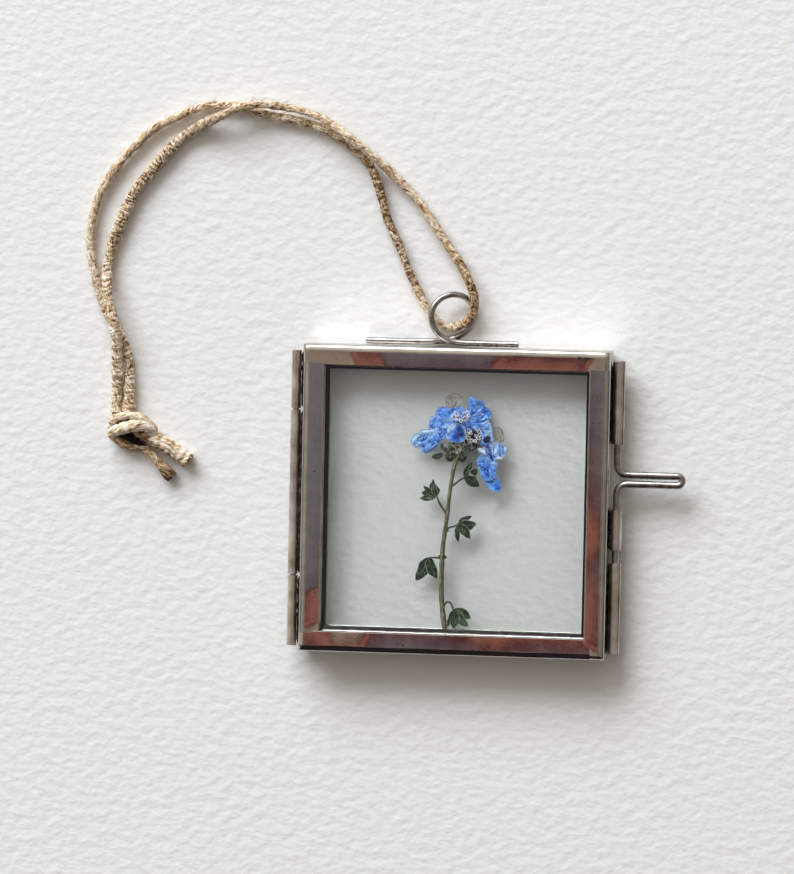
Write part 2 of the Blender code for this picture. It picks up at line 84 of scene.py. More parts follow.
# ---------------------------------------------------------------------------------
# The twine. Soft two-ply jute, 1.8 mm thick, spun unevenly, with stray fibres. One
# length of it is looped through the ring and lies on the surface up to its knot.
STRAND_UNDER = [
    (-1.85, 28.1, 1.08), (-2.93, 28.33, 1.00), (-4.1, 29.0, 0.95), (-4.98, 30.0, 0.95),
    (-5.9, 31.6, 0.95), (-7.1, 34.0, 0.95), (-8.6, 36.9, 0.95), (-9.9, 40.1, 0.95),
    (-11.2, 43.0, 0.95), (-12.4, 45.6, 0.95), (-13.2, 48.4, 0.95), (-14.0, 51.0, 0.95),
    (-15.0, 53.4, 0.95), (-16.6, 55.5, 0.95), (-18.7, 57.3, 0.95), (-21.3, 58.9, 0.95),
    (-24.3, 60.2, 0.95), (-27.4, 61.0, 0.95), (-30.6, 61.5, 0.95), (-33.7, 62.1, 0.95),
    (-36.7, 63.0, 0.95), (-39.8, 63.2, 0.95), (-43.5, 62.7, 0.95), (-47.7, 60.8, 0.95),
    (-51.2, 58.8, 0.95), (-54.1, 56.1, 0.95), (-57.0, 52.7, 0.95), (-59.3, 49.0, 0.95),
    (-60.6, 45.3, 0.95), (-61.0, 41.7, 0.95), (-60.9, 38.3, 0.95), (-60.2, 35.0, 0.95),
    (-59.3, 32.0, 0.95), (-58.0, 28.9, 0.95), (-56.3, 26.1, 0.95), (-55.1, 23.5, 0.95),
    (-54.4, 20.6, 0.95), (-54.2, 17.6, 0.95), (-54.2, 15.1, 0.95), (-54.3, 12.9, 0.95),
]
STRAND_OVER = [
    (-1.35, 28.1, 1.15), (-0.27, 28.34, 1.32), (0.91, 29.0, 1.70), (1.78, 30.05, 2.10),
    (2.26, 31.4, 2.38), (2.3, 32.8, 2.45), (1.8, 34.6, 2.30), (0.7, 36.8, 1.85),
    (-0.7, 39.1, 1.25), (-2.5, 41.5, 0.95), (-4.5, 44.4, 0.95), (-6.6, 47.4, 0.95),
    (-9.0, 50.2, 0.95), (-11.9, 53.0, 1.30), (-14.8, 55.5, 2.30), (-17.6, 57.7, 2.75),
    (-20.3, 59.7, 2.60), (-23.3, 61.5, 2.10), (-26.5, 62.6, 1.90), (-30.0, 63.2, 1.90),
    (-33.4, 63.5, 2.40), (-36.7, 62.9, 3.02), (-39.7, 61.5, 2.55), (-43.1, 59.8, 1.30),
    (-46.2, 57.8, 0.95), (-48.9, 55.1, 0.95), (-51.4, 52.1, 0.95), (-53.6, 49.2, 0.95),
    (-55.2, 46.0, 0.95), (-56.5, 42.8, 0.95), (-57.6, 39.6, 0.95), (-58.1, 36.4, 1.20),
    (-58.0, 32.9, 2.20), (-57.4, 29.9, 2.75), (-56.4, 26.6, 2.95), (-56.1, 23.6, 2.70),
    (-56.1, 20.6, 2.00), (-56.1, 17.6, 1.30), (-56.2, 15.1, 1.10), (-56.2, 12.8, 1.10),
]


def smooth_route(points, spacing):
    """A Catmull-Rom curve through the points, read again at an even spacing. Returns
    the points of the curve and the length of it behind each of them."""
    points = np.asarray(points, float)
    ends = np.vstack([2 * points[0] - points[1], points, 2 * points[-1] - points[-2]])
    a, b, c, d = (ends[k:len(ends) - 3 + k, None] for k in range(4))
    t = np.linspace(0, 1, 40, endpoint=False)[None, :, None]
    fine = 0.5 * (2 * b + (c - a) * t + (2 * a - 5 * b + 4 * c - d) * t ** 2
                  + (3 * b - a - 3 * c + d) * t ** 3)
    fine = np.vstack([fine.reshape(-1, points.shape[1]), points[-1]])
    steps = np.linalg.norm(np.diff(fine, axis=0), axis=1)
    behind = np.concatenate([[0.0], np.cumsum(steps)])
    reach = np.linspace(0, behind[-1], max(3, round(behind[-1] / spacing) + 1))
    return np.stack([np.interp(reach, behind, axis) for axis in fine.T], axis=1), reach


def wander(place, wave, seed):
    """Smooth seeded wander of about -1 to 1: a sum of six sines near one wavelength.
    place is a length, or points whose last axis is their coordinates."""
    chance = np.random.default_rng(seed)
    place = np.asarray(place, float)
    if place.ndim < 2 or place.shape[-1] > 3:
        place = place[..., None]
    heading = unit(chance.normal(size=(place.shape[-1], 6)).T).T
    pace = 2 * np.pi / (wave * chance.uniform(0.6, 1.7, 6))
    return np.sin((place @ heading) * pace + chance.uniform(0, 6.3, 6)).sum(-1) / 2.6


def full_turn(count):
    """So many angles, evenly spaced round one turn."""
    return np.arange(count) * 2 * np.pi / count


def way_along(path):
    """The unit direction in which a path runs at each of its points."""
    return unit(np.gradient(path, axis=0))


def square_to(path, reference=(0.0, 0.0, 1.0)):
    """Two unit directions square to a path at each point: sideways, and the other
    that points the reference's way."""
    sideways = unit(np.cross(way_along(path), reference))
    return sideways, np.cross(sideways, way_along(path))


def ring_round(path, radius, angles, reference=(0.0, 0.0, 1.0)):
    """Rings round a path: each point is the path's own, plus radius times the cosine of
    the angle sideways and its sine upward. radius may differ at every point."""
    sideways, upward = square_to(path, reference)
    radius = np.broadcast_to(radius, (len(path), len(angles)))[..., None]
    return (path[:, None] + radius * (np.cos(angles)[None, :, None] * sideways[:, None]
                                      + np.sin(angles)[None, :, None] * upward[:, None]))


def tube_faces(rings, around):
    """Quads between neighbouring rings, and a cap at each end of the tube."""
    ring, turn = np.meshgrid(np.arange(rings - 1), np.arange(around), indexing="ij")
    here, beside = ring * around, (turn + 1) % around
    quads = np.stack([here + turn, here + beside, here + around + beside,
                      here + around + turn], axis=-1)
    return quads.reshape(-1, 4).tolist() + [
        list(range(around))[::-1], list(range((rings - 1) * around, rings * around))]


def add_mesh(name, shells, finish, smooth=35.0, spread=None, weld=0.0, **marks):
    """One mesh from several (points, faces) shells in frame millimetres. spread is a UV
    place for each point and marks are attributes for each point, one number or three.
    weld merges points nearer than so many millimetres. Faces are turned outward; edges
    sharper than smooth degrees stay sharp."""
    parts = [np.asarray(some, float).reshape(-1, 3) for some, theirs in shells]
    starts = np.cumsum([0] + [len(some) for some in parts]).tolist()
    points = on_frame(np.vstack(parts))
    mesh = bpy.data.meshes.new(name)
    mesh.from_pydata(points, [], [[corner + start for corner in face]
                                  for start, (some, theirs) in zip(starts, shells)
                                  for face in theirs])
    for mark, values in marks.items():
        values = np.asarray(values, np.float32)
        kind = "FLOAT" if values.size == len(points) else "FLOAT_VECTOR"
        layer = mesh.attributes.new(mark, kind, "POINT")
        layer.data.foreach_set("value" if kind == "FLOAT" else "vector", values.ravel())
    if spread is not None:
        corners = np.empty(len(mesh.loops), np.int32)
        mesh.loops.foreach_get("vertex_index", corners)
        places = np.asarray(spread, np.float32).reshape(-1, 2)[corners]
        mesh.uv_layers.new(name="spread").data.foreach_set("uv", places.ravel())
    drawn = bmesh.new()
    drawn.from_mesh(mesh)
    if weld:
        bmesh.ops.remove_doubles(drawn, verts=drawn.verts, dist=weld * MM)
    bmesh.ops.recalc_face_normals(drawn, faces=drawn.faces)
    drawn.to_mesh(mesh)
    drawn.free()
    mesh.shade_smooth()
    mesh.set_sharp_from_angle(angle=math.radians(smooth))
    mesh.materials.append(finish)
    piece = bpy.data.objects.new(name, mesh)
    put_in_scene(piece)
    return piece


def fit(piece, body, node=None):
    """Lets a piece ride on a body, and hides the node it stands for."""
    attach(piece, body)
    if node:
        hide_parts(node)
    return piece


def tint(text):
    """An sRGB hex colour as linear RGB with alpha 1."""
    code = [int(text[k:k + 2], 16) / 255 for k in (1, 3, 5)]
    linear = [c / 12.92 if c <= 0.04045 else ((c + 0.055) / 1.055) ** 2.4 for c in code]
    return linear + [1.0]


def feed(node, sockets):
    """Gives a node's sockets, by name or number, a value or another node's output."""
    for key, value in sockets.items():
        if isinstance(value, bpy.types.NodeSocket):
            node.id_data.links.new(value, node.inputs[key])
        else:
            node.inputs[key].default_value = value


def add_node(tree, kind, *values, stops=(), **settings):
    """The outputs of a new node. values fill its sockets in their order; a setting goes
    to the socket of that name, or else to the node's own property; stops are a colour
    ramp's places and colours."""
    node = tree.nodes.new("ShaderNode" + kind)
    feed(node, dict(enumerate(values)))
    for key, value in settings.items():
        if key in node.inputs:
            feed(node, {key: value})
        else:
            setattr(node, key, value)
    if stops:
        ramp = node.color_ramp.elements
        while len(ramp) < len(stops):
            ramp.new(0.5)
        for stop, (place, colour) in zip(ramp, stops):
            stop.position = place
            stop.color = tint(colour)
    return node.outputs


def new_finish(name):
    """An empty finish: add_node() for its tree, its Principled shader, and itself."""
    finish = bpy.data.materials.new(name)
    finish.use_nodes = True
    tree = finish.node_tree
    return functools.partial(add_node, tree), tree.nodes["Principled BSDF"], finish


def mottled_finish(name, noise, stops, sockets, relief=None):
    """A finish whose colour runs along the stops with one noise in Object coordinates.
    relief gives the strength and the height in metres by which that noise raises it."""
    add, shader, finish = new_finish(name)
    tone = add("TexNoise", add("TexCoord")["Object"], **noise)["Fac"]
    feed(shader, {"Base Color": add("ValToRGB", tone, stops=stops)["Color"], **sockets})
    if relief:
        strength, height = relief
        feed(shader, {"Normal": add("Bump", Height=tone, Strength=strength,
                                    Distance=height)["Normal"]})
    return finish


# Spun jute: dull straw-brown fibre. Its streaks follow the yarn's own grain, the gaps
# between the plies are painted dark as their shade, and bleached fibres on the ridges are
# painted paler still as their highlight. Where a noise reads Object coordinates its Scale
# is its cells in a metre: 700 is 1.4 mm each.
add, shader, spun_jute = new_finish("spun_jute")
grain = add("Attribute", attribute_name="grain")["Vector"]
relief = add("Attribute", attribute_name="relief")["Fac"]
streaks = add("TexNoise", grain, Scale=6.5, Detail=4.0, Roughness=0.62,
              Distortion=0.35)["Fac"]
strays = add("TexNoise", add("TexCoord")["Object"], Scale=700.0, Detail=3.0,
             Distortion=1.0)["Fac"]
across = add("Mapping", grain, Scale=(0.5, 0.5, 13.0))["Vector"]
binding = add("TexNoise", across, Scale=1.0, Detail=2.0, Distortion=0.6)["Fac"]
binding = add("MapRange", binding, 0.57, 0.66, 0.0, 0.38,
              interpolation_type="SMOOTHSTEP")[0]
bound = add("Attribute", attribute_name="bound")["Fac"]
tone = relief
for pattern, share in ((streaks, 1.9), (strays, 0.5), (binding, bound)):
    tone = add("Math", pattern, share, tone, operation="MULTIPLY_ADD")[0]
shade = add("Math", tone, -0.70, operation="ADD")[0]
feed(shader, {
    # the near-black lowest stop paints the shade in the knot's hollow
    "Base Color": add("ValToRGB", shade, stops=[
        (0.0, "#080503"), (0.16, "#3b2412"), (0.33, "#735030"), (0.50, "#b4946e"),
        (0.66, "#e0c8a6"), (0.84, "#fdf5e8")])["Color"],
    "Roughness": 0.86, "Specular IOR Level": 0.2, "Sheen Weight": 0.08,
    "Normal": add("Bump", Height=tone, Strength=0.5, Distance=0.00014)["Normal"]})


def lay_twine(path, reach, radius, seed, wrap, lay=5.5, around=48, plies=0.13,
              reference=(0.0, 0.0, 1.0), pale=0.0):
    """Twine round a path: its radius is the yarn's own by a slow swell, less a groove
    where the two plies meet (a narrow dip at the two angles square to the lay, which
    turns once in about lay millimetres and fades in and out), plus ridges of wrapped
    fibre across it (strength wrap, 0.8 mm apart), fine fibres along it and small uneven
    lumps. Returns the rings and the marks for its finish."""
    angles = full_turn(around)
    s, turn = reach[:, None], angles[None, :]
    twist = 2 * np.pi * s / lay + 1.3 * wander(reach, 6.0, seed)[:, None]
    groove = np.exp(-(np.cos(turn - twist) / 0.26) ** 2) * (
        0.55 + 0.45 * wander(reach, 2.4, seed + 5)[:, None])
    wrap = np.broadcast_to(wrap, reach.shape)[:, None]
    pitch = 2 * np.pi * s / 0.85 + 2.4 * wander(reach, 2.2, seed + 1)[:, None]
    ridge = np.sin(pitch + turn * 1.0 + 0.9 * np.sin(2 * turn + twist))
    fibre = np.sin(9 * turn - 3.1 * twist + 1.5 * wander(reach, 1.1, seed + 2)[:, None])
    round_about = np.stack(np.broadcast_arrays(np.cos(turn), np.sin(turn), s), axis=-1)
    lump = wander(round_about, 1.0, seed + 6)
    curl = wander(round_about * (1.6, 1.6, 1.0), 0.62, seed + 7)
    swell = 1 + 0.07 * wander(reach, 7.0, seed + 3) + 0.045 * wander(reach, 1.9, seed + 4)
    radius = np.broadcast_to(radius, reach.shape) * swell
    shape = (1.0 - plies * groove) * (1 + 0.05 * wrap * ridge + 0.014 * fibre
                                      + 0.022 * lump + 0.010 * curl)
    rings = ring_round(path, radius[:, None] * shape * 0.96, angles, reference)
    slant = turn - 0.55 * twist
    grain = np.stack([np.cos(slant) * 0.9, np.sin(slant) * 0.9,
                      np.broadcast_to(s * (0.10 + 0.22 * wrap), slant.shape)], axis=-1)
    # relief also sets the colour: painted shade in the ply groove, painted highlight on
    # the ridges, fibres and lumps that stand out, and the strand's own paleness
    relief = (-0.26 * groove + 0.10 * wrap * ridge + 0.04 * fibre + 0.07 * lump
              + 0.04 * curl + np.broadcast_to(pale, reach.shape)[:, None])
    return rings, {"grain": grain.reshape(-1, 3), "relief": relief.ravel(),
                   "bound": np.broadcast_to(wrap, relief.shape).ravel()}


def stops_along(reach, stops):
    """A value read along a length from a few (share, value) stops."""
    share, value = np.array(stops, float).T
    return np.interp(reach / reach[-1], share, value)


def laid_down(rings):
    """Rings of twine as a shell, flattened where they would sink into the surface."""
    rings[..., 2] = np.maximum(rings[..., 2], 0.04)
    return rings, tube_faces(*rings.shape[:2])


# Half the twine's thickness, and the spacing of its rings.
TWINE_RADIUS, TWINE_STEP = 0.9, 0.12
# For each strand its route, its seed, and along it the share of its full thickness, the
# strength of the fibre wrapped across it, and how much paler it is.
strand_shapes = []
for name, route, seed, thick, wrap, pale in (
        ("strand_under", STRAND_UNDER, 11,
         [(0, 0.80), (0.12, 0.76), (0.28, 0.84), (0.45, 0.76), (0.6, 0.76), (0.8, 0.82),
          (0.88, 0.96), (1, 1.14)],
         [(0, 0.1), (0.05, 0.3), (0.1, 1.0), (0.24, 1.0), (0.3, 0.5), (0.5, 0.3),
          (0.7, 0.2), (0.85, 0.9), (1, 0.8)],
         [(0, 0.22), (0.05, 0.14), (0.09, -0.08), (0.22, -0.17), (0.30, 0.02),
          (0.4, 0.12), (0.6, 0.10), (0.8, 0.13), (0.93, 0.06), (1, 0.12)]),
        ("strand_over", STRAND_OVER, 29,
         [(0, 0.84), (0.2, 0.82), (0.42, 0.72), (0.50, 0.78), (0.57, 0.98), (0.72, 1.04),
          (0.82, 0.90), (0.88, 0.98), (1, 1.14)],
         [(0, 0.7), (0.08, 0.9), (0.13, 0.3), (0.2, 0.1), (0.5, 0.3), (0.58, 1.2),
          (0.75, 1.3), (0.85, 0.9), (1, 0.6)],
         [(0, 0.12), (0.03, -0.14), (0.08, -0.16), (0.13, 0.0), (0.17, 0.14),
          (0.32, 0.13), (0.45, 0.10), (0.55, 0.06), (0.62, 0.02), (0.75, 0.0),
          (0.82, 0.08), (1, 0.12)])):
    # the two strands reach a little into each other under the ring, as one length
    route = np.array(route)
    route[0] += unit(route[0] - route[1]) * 0.25
    path, reach = smooth_route(route, TWINE_STEP)
    strand_shapes.append((path, reach))
    rings, marks = lay_twine(path, reach, TWINE_RADIUS * stops_along(reach, thick), seed,
                             stops_along(reach, wrap), pale=stops_along(reach, pale))
    fit(add_mesh(name, [laid_down(rings)], spun_jute, **marks),
        "back", "cord_" + name)

# ---------------------------------------------------------------------------------
# The knot. The doubled twine is tied in one overhand knot: a thin wrap at the top, a
# thick one under it, a dark hollow below them, painted as a turn of near-black twine for
# the shade inside the knot, and two cut tails toward the frame.
# Each turn has a route, its share of the full radius along it, a seed and its paleness.
knot_shells, knot_marks = [], []
for route, thick, seed, pale in (
        # the thin wrap at the top, and the thick one across the middle
        ([(-56.4, 10.5, 0.9), (-56.9, 11.2, 1.6), (-55.9, 12.0, 2.5), (-54.0, 12.4, 2.9),
          (-52.2, 12.2, 2.9), (-50.9, 11.4, 2.6), (-50.1, 10.4, 1.8), (-50.1, 9.7, 1.0)],
         [(0, 0.60), (0.3, 0.58), (0.7, 0.74), (1, 0.8)], 41, 0.20),
        ([(-55.4, 8.3, 0.9), (-56.6, 8.7, 1.2), (-56.7, 9.5, 2.2), (-55.2, 10.1, 2.9),
          (-53.1, 10.7, 3.1), (-51.3, 10.7, 2.9), (-50.3, 9.9, 2.2), (-50.4, 9.0, 1.4),
          (-51.2, 8.5, 1.0)], [(0, 0.7), (0.3, 0.9), (0.6, 1.05), (1, 0.85)], 43, 0.22),
        # the turn under them at the left, and the twine pressed inside the knot
        ([(-56.8, 10.4, 1.2), (-56.5, 9.0, 1.3), (-55.4, 7.9, 1.3), (-54.0, 7.3, 1.2),
          (-52.6, 7.0, 1.0)], [(0, 0.85), (0.6, 0.85), (1, 0.7)], 47, -0.02),
        ([(-56.2, 13.4, 1.0), (-56.0, 11.6, 1.3), (-55.2, 9.9, 1.6), (-53.6, 8.6, 1.2)],
         [(0, 0.84), (1, 0.9)], 51, -0.04),
        ([(-54.3, 13.4, 0.95), (-54.0, 11.6, 1.3), (-53.2, 10.2, 1.6), (-51.6, 8.8, 1.3)],
         [(0, 0.84), (1, 0.9)], 53, -0.04),
        # the dark hollow: a turn painted near-black (paleness -0.62) as the shade inside
        # the knot
        ([(-55.6, 9.6, 1.3), (-54.0, 9.0, 1.45), (-52.4, 8.1, 1.25), (-51.2, 7.2, 1.0)],
         [(0, 1.0), (0.5, 1.0), (0.8, 0.7), (1, 0.2)], 57, -0.62)):
    path, reach = smooth_route(route, TWINE_STEP)
    reference = unit(np.cross(route[-1] - np.array(route[0]), (0.1, -0.2, 1.0)))
    rings, marks = lay_twine(path, reach, stops_along(reach, thick), seed, 0.1, lay=9.0,
                             plies=0.12, pale=pale, around=40, reference=reference)
    knot_shells.append(laid_down(rings))
    knot_marks.append(marks)
knot = fit(add_mesh("twine_knot", knot_shells, spun_jute, **{
    mark: np.concatenate([marks[mark] for marks in knot_marks]) for mark in marks}),
    "back", "cord_knot")

TAIL_UPPER = [(-51.9, 9.3, 1.50), (-50.4, 8.8, 1.50), (-48.9, 8.1, 1.40),
              (-47.3, 7.2, 1.25), (-45.7, 6.2, 1.10), (-44.2, 5.1, 1.05)]
TAIL_LOWER = [(-52.8, 7.7, 0.90), (-51.3, 6.8, 0.85), (-50.1, 5.8, 0.80),
              (-49.0, 4.5, 0.80), (-48.0, 3.4, 0.80), (-47.0, 2.4, 0.85)]
for name, route, seed, thick, wrap, pale in (
        ("tail_upper", TAIL_UPPER, 61, [(0, 1.24), (0.3, 1.44), (0.8, 1.42), (1, 1.46)],
         0.0, [(0, -0.10), (0.25, 0.10), (0.5, 0.18), (0.9, 0.18), (1, 0.04)]),
        ("tail_lower", TAIL_LOWER, 67, [(0, 0.80), (0.5, 0.78), (0.8, 1.0), (1, 1.22)],
         0.1, [(0, 0.14), (0.5, 0.14), (0.75, -0.10), (1, -0.26)])):
    path, reach = smooth_route(route, TWINE_STEP)
    rings, marks = lay_twine(path, reach, TWINE_RADIUS * stops_along(reach, thick), seed,
                             wrap, lay=14.0, plies=0.17, pale=stops_along(reach, pale))
    # the last half millimetre is cut ragged
    end = np.clip((reach - reach[-1] + 0.5) / 0.5, 0, 1)[:, None, None]
    rings += 0.18 * end * unit(route[-1] - np.array(route[-2])) * wander(
        np.arange(48) * 2.0, 5.0, seed)[None, :, None]
    fit(add_mesh("twine_" + name, [laid_down(rings)], spun_jute, **marks),
                     "back", "cord_" + name)
    strand_shapes.append((path, reach))


def hair_shells(roots, tips, bow, thick, steps=5):
    """Fine fibres, three-sided and tapering: each runs from its root to its tip, moved
    aside by bow times a parabola that is nought at both ends."""
    t = np.linspace(0, 1, steps)[None, :, None]
    line = roots[:, None] * (1 - t) + tips[:, None] * t + 4 * t * (1 - t) * bow[:, None]
    along = unit(tips - roots)
    sideways = unit(np.cross(along, (0.31, 0.17, 0.94)))
    upward = np.cross(sideways, along)
    angles = full_turn(3)[None, :, None]
    ring = np.cos(angles) * sideways[:, None] + np.sin(angles) * upward[:, None]
    thick = thick[:, None, None, None]
    points = line[:, :, None] + ring[:, None] * thick * (1 - 0.75 * t[..., None])
    starts = (np.arange(len(roots)) * steps * 3)[:, None, None]
    *sides, cap, end = tube_faces(steps, 3)
    return points, ((np.array(sides) + starts).reshape(-1, 4).tolist()
                    + (np.array([cap, end]) + starts).reshape(-1, 3).tolist())


# Stray jute fibres: pale and thin, in tones that change about every millimetre, standing
# off the twine all along it. There are 640 on each strand and 90 on each tail.
loose_jute = mottled_finish("loose_jute_fibre", {"Scale": 900.0}, [
    (0.3, "#a98a62"), (0.55, "#d9c4a0"), (0.8, "#efe2c8")], {"Roughness": 0.7})
chance = np.random.default_rng(5)
roots, tips, bows = [], [], []
for (path, reach), count in zip(strand_shapes, (640, 640, 90, 90)):
    pick = chance.integers(2, len(path) - 2, count)
    sideways, upward = square_to(path)
    angle = chance.uniform(-0.5, math.pi + 0.5, count)[:, None]
    out = np.cos(angle) * sideways[pick] + np.sin(angle) * upward[pick]
    along = way_along(path)[pick] * chance.choice([-1, 1], count)[:, None]
    long = chance.uniform(0.4, 1.9, count)[:, None]
    lift = chance.uniform(0.0, 0.8, count)[:, None]
    roots.append(path[pick] + out * 0.68)
    tips.append(roots[-1] + long * unit(along + out * lift))
    bows.append(0.16 * long * out * chance.uniform(0.2, 1.4, count)[:, None])
roots, tips, bows = np.vstack(roots), np.vstack(tips), np.vstack(bows)
tips[:, 2] = np.maximum(tips[:, 2], 0.06)
hairs = hair_shells(roots, tips, bows, chance.uniform(0.022, 0.042, len(roots)))
fuzz = fit(add_mesh("twine_fuzz", [hairs], loose_jute), "back")

# ---------------------------------------------------------------------------------
# The studio: white paper on a table, a broad window to the upper left and a dim warm
# room. Plum and red cloth is spread overhead, and the flat lips of the frame show it.
paper_sheet = bpy.data.objects.new("floor", bpy.data.meshes.new("floor"))
paper_sheet.data.from_pydata([(x, y, -0.00004) for x, y in
                              ((-2, -2), (2, -2), (2, 2), (-2, 2))], [], [(0, 1, 2, 3)])
put_in_scene(paper_sheet)
# Plain white drawing paper: matt, its shallow tooth in lumps about a millimetre wide.
add, shader, drawing_paper = new_finish("drawing_paper")
place = add("Mapping", add("TexCoord")["Object"], Scale=(1.0, 1.35, 1.0))["Vector"]
tooth = add("TexNoise", place, Scale=540.0, Detail=2.0, Roughness=0.42)["Fac"]
feed(shader, {
    "Base Color": tint("#efefee"), "Roughness": 0.95, "Specular IOR Level": 0.2,
    "Normal": add("Bump", Height=tooth, Strength=0.34, Distance=0.00050)["Normal"]})
paper_sheet.data.materials.append(drawing_paper)

window_way = unit((-0.38, 0.74, 0.44))
side = unit(np.cross((0, 0, 1), window_way))
window = bpy.data.lights.new("window_light", "AREA")
window.shape, window.size, window.size_y = "RECTANGLE", 1.9, 0.95
window.energy, window.color = 66.0, (0.88, 0.94, 1.0)
window_light = bpy.data.objects.new("window_light", window)
window_light.matrix_world = Matrix(np.c_[
    side, np.cross(window_way, side), window_way, middle + window_way * 2.2
    ].tolist() + [[0, 0, 0, 1]])
put_in_scene(window_light)

room = bpy.data.worlds.new("room")
bpy.context.scene.world = room
room.use_nodes = True
add = functools.partial(add_node, room.node_tree)
way = add("TexCoord")["Generated"]
parts = add("SeparateXYZ", way)
# Walls and ceiling: brightest overhead and beside the window, dimmest on the near side.
walls = 0.265
for axis, share in (("Z", 0.12), ("Y", 0.14), ("X", -0.09)):
    walls = add("Math", parts[axis], share, walls, operation="MULTIPLY_ADD")[0]
glow = add("VectorMath", way, tuple(window_way), operation="DOT_PRODUCT")["Value"]
glow = add("MapRange", glow, 0.45, 0.97, 0.0, 0.46, interpolation_type="SMOOTHSTEP")[0]
walls = add("Math", walls, glow, operation="ADD")[0]
walls = add("MixRGB", 1.0, walls, tint("#fff7eb"), blend_type="MULTIPLY")["Color"]
# A dark screen low on the near side.
screen = add("VectorMath", way, (0.0, -0.90, 0.43), operation="DOT_PRODUCT")["Value"]
screen = add("MapRange", screen, 0.66, 0.80, interpolation_type="SMOOTHSTEP")[0]
walls = add("MixRGB", screen, walls, tint("#2e2628"))["Color"]
# The cloth straight above: plum-grey in the middle, then soft rings of dark red 8
# degrees out, pale red at 10, brown at 13 and beige from 15.
blotch = add("TexNoise", way, Scale=3.0, Detail=1.0)["Fac"]
above = tuple(unit((-0.121, -0.068, 1)))
ring = add("VectorMath", way, above, operation="DOT_PRODUCT")["Value"]
ring = add("Math", ring, -16.6, 16.6, operation="MULTIPLY_ADD")[0]
ring = add("Math", blotch, 0.08, ring, operation="MULTIPLY_ADD")[0]
ring = add("Math", ring, -0.04, operation="ADD")[0]
cloth = add("ValToRGB", ring, stops=[
    (0.01, "#85848c"), (0.07, "#776c75"), (0.12, "#664a52"), (0.165, "#4a282b"),
    (0.21, "#9a5a50"), (0.27, "#c28578"), (0.33, "#95554d"), (0.41, "#7a4a42"),
    (0.47, "#84685a"), (0.55, "#988676"), (0.68, "#b8a598")])["Color"]
edge = add("MapRange", ring, 0.72, 1.0, 1.0, 0.0, interpolation_type="SMOOTHSTEP")[0]
feed(room.node_tree.nodes["Background"], {
    "Color": add("MixRGB", edge, walls, cloth)["Color"]})
# Plain colours, and panes that stay clear for the light that comes back off the paper.
bpy.context.scene.view_settings.view_transform = "Standard"
bpy.context.scene.cycles.blur_glossy = 0.0

# ---------------------------------------------------------------------------------
# The two channel frames. Thin tin-plated sheet is bent into a C round each pane, one
# strip to a side; the top and bottom strips lap over the upright ones at the corners.
# Polished tin plate: mirror-bright, with faint clouds 4 mm wide and pits of 0.4 mm. The
# mark "dim" paints the sheet near black as shade and dark reflections: inside the fold,
# on the wall beside the barrels, and in lines and spots on the front's lips.
add, shader, tinned_sheet = new_finish("polished_tinned_sheet")
place = add("TexCoord")["Object"]
cloud = add("TexNoise", place, Scale=260.0, Detail=4.0, Roughness=0.6)["Fac"]
specks = add("TexNoise", place, Scale=2600.0, Detail=2.0)["Fac"]
dim = add("Attribute", attribute_name="dim")["Fac"]
plate = add("ValToRGB", cloud, stops=[
    (0.3, "#b4afa8"), (0.5, "#c3beb6"), (0.75, "#cfcbc4")])["Color"]
pit = add("MapRange", specks, 0.66, 0.72, 0.0, 0.55, interpolation_type="SMOOTHSTEP")[0]
plate = add("MixRGB", pit, plate, tint("#4c4440"))["Color"]
dents = add("Bump", Height=cloud, Strength=0.12, Distance=0.00006)["Normal"]
feed(shader, {
    # painted shade and dark reflections: dim turns the plate near black
    "Base Color": add("MixRGB", dim, plate, tint("#060606"))["Color"],
    "Metallic": 1.0, "Roughness": add("MapRange", cloud, 0.3, 0.75, 0.06, 0.16)[0],
    "Normal": add("Bump", Height=specks, Strength=0.10, Distance=0.00003,
                  Normal=dents)["Normal"]})

# The shoulder is as wide as this and drops this far; last, the thickness of the sheet.
SHOULDER, DROP, SHEET = 1.05, 0.66, 0.35


def channel_section(lip, low, high):
    """Closed outline of a C-shaped channel, as distance in from its wall and height:
    flat lips, shoulders that leave them at 8 degrees and round over like a quarter
    ellipse, an upright wall, and the same again inside. Returns it, and which points
    are inside."""
    t = np.concatenate([[0.30, 0.32], np.linspace(0.40, np.pi / 2, 12)])
    share_in = (1 - np.sin(t)) / (1 - np.sin(t[0]))
    share_out = 1 - np.cos(t) / np.cos(t[0])
    flat = np.linspace(SHOULDER + 0.02, lip - 0.03, 8)
    flat = np.concatenate([[SHOULDER], flat, [lip]])
    edge = np.linspace(np.pi / 2, -np.pi / 2, 7)[1:-1]
    bow_in, bow_out = SHOULDER * share_in, DROP * share_out
    thin_in, thin_out = SHEET + (SHOULDER - SHEET) * share_in, SHEET + bow_out * 0.7
    tip = lip + np.cos(edge) * SHEET / 2
    outline = [
        np.c_[flat[::-1], np.full(10, low)], np.c_[bow_in, low + bow_out][1:],
        np.c_[bow_in, high - bow_out][::-1], np.c_[flat, np.full(10, high)][1:],
        np.c_[tip, high - SHEET / 2 * (1 - np.sin(edge))],
        np.c_[flat[::-1], np.full(10, high - SHEET)],
        np.c_[thin_in, high - thin_out][1:], np.c_[thin_in, low + thin_out][::-1],
        np.c_[flat, np.full(10, low + SHEET)][1:],
        np.c_[tip, low + SHEET / 2 * (1 + np.sin(edge))]]
    inside = np.repeat(np.arange(len(outline)) >= 5, [len(part) for part in outline])
    return np.vstack(outline), inside


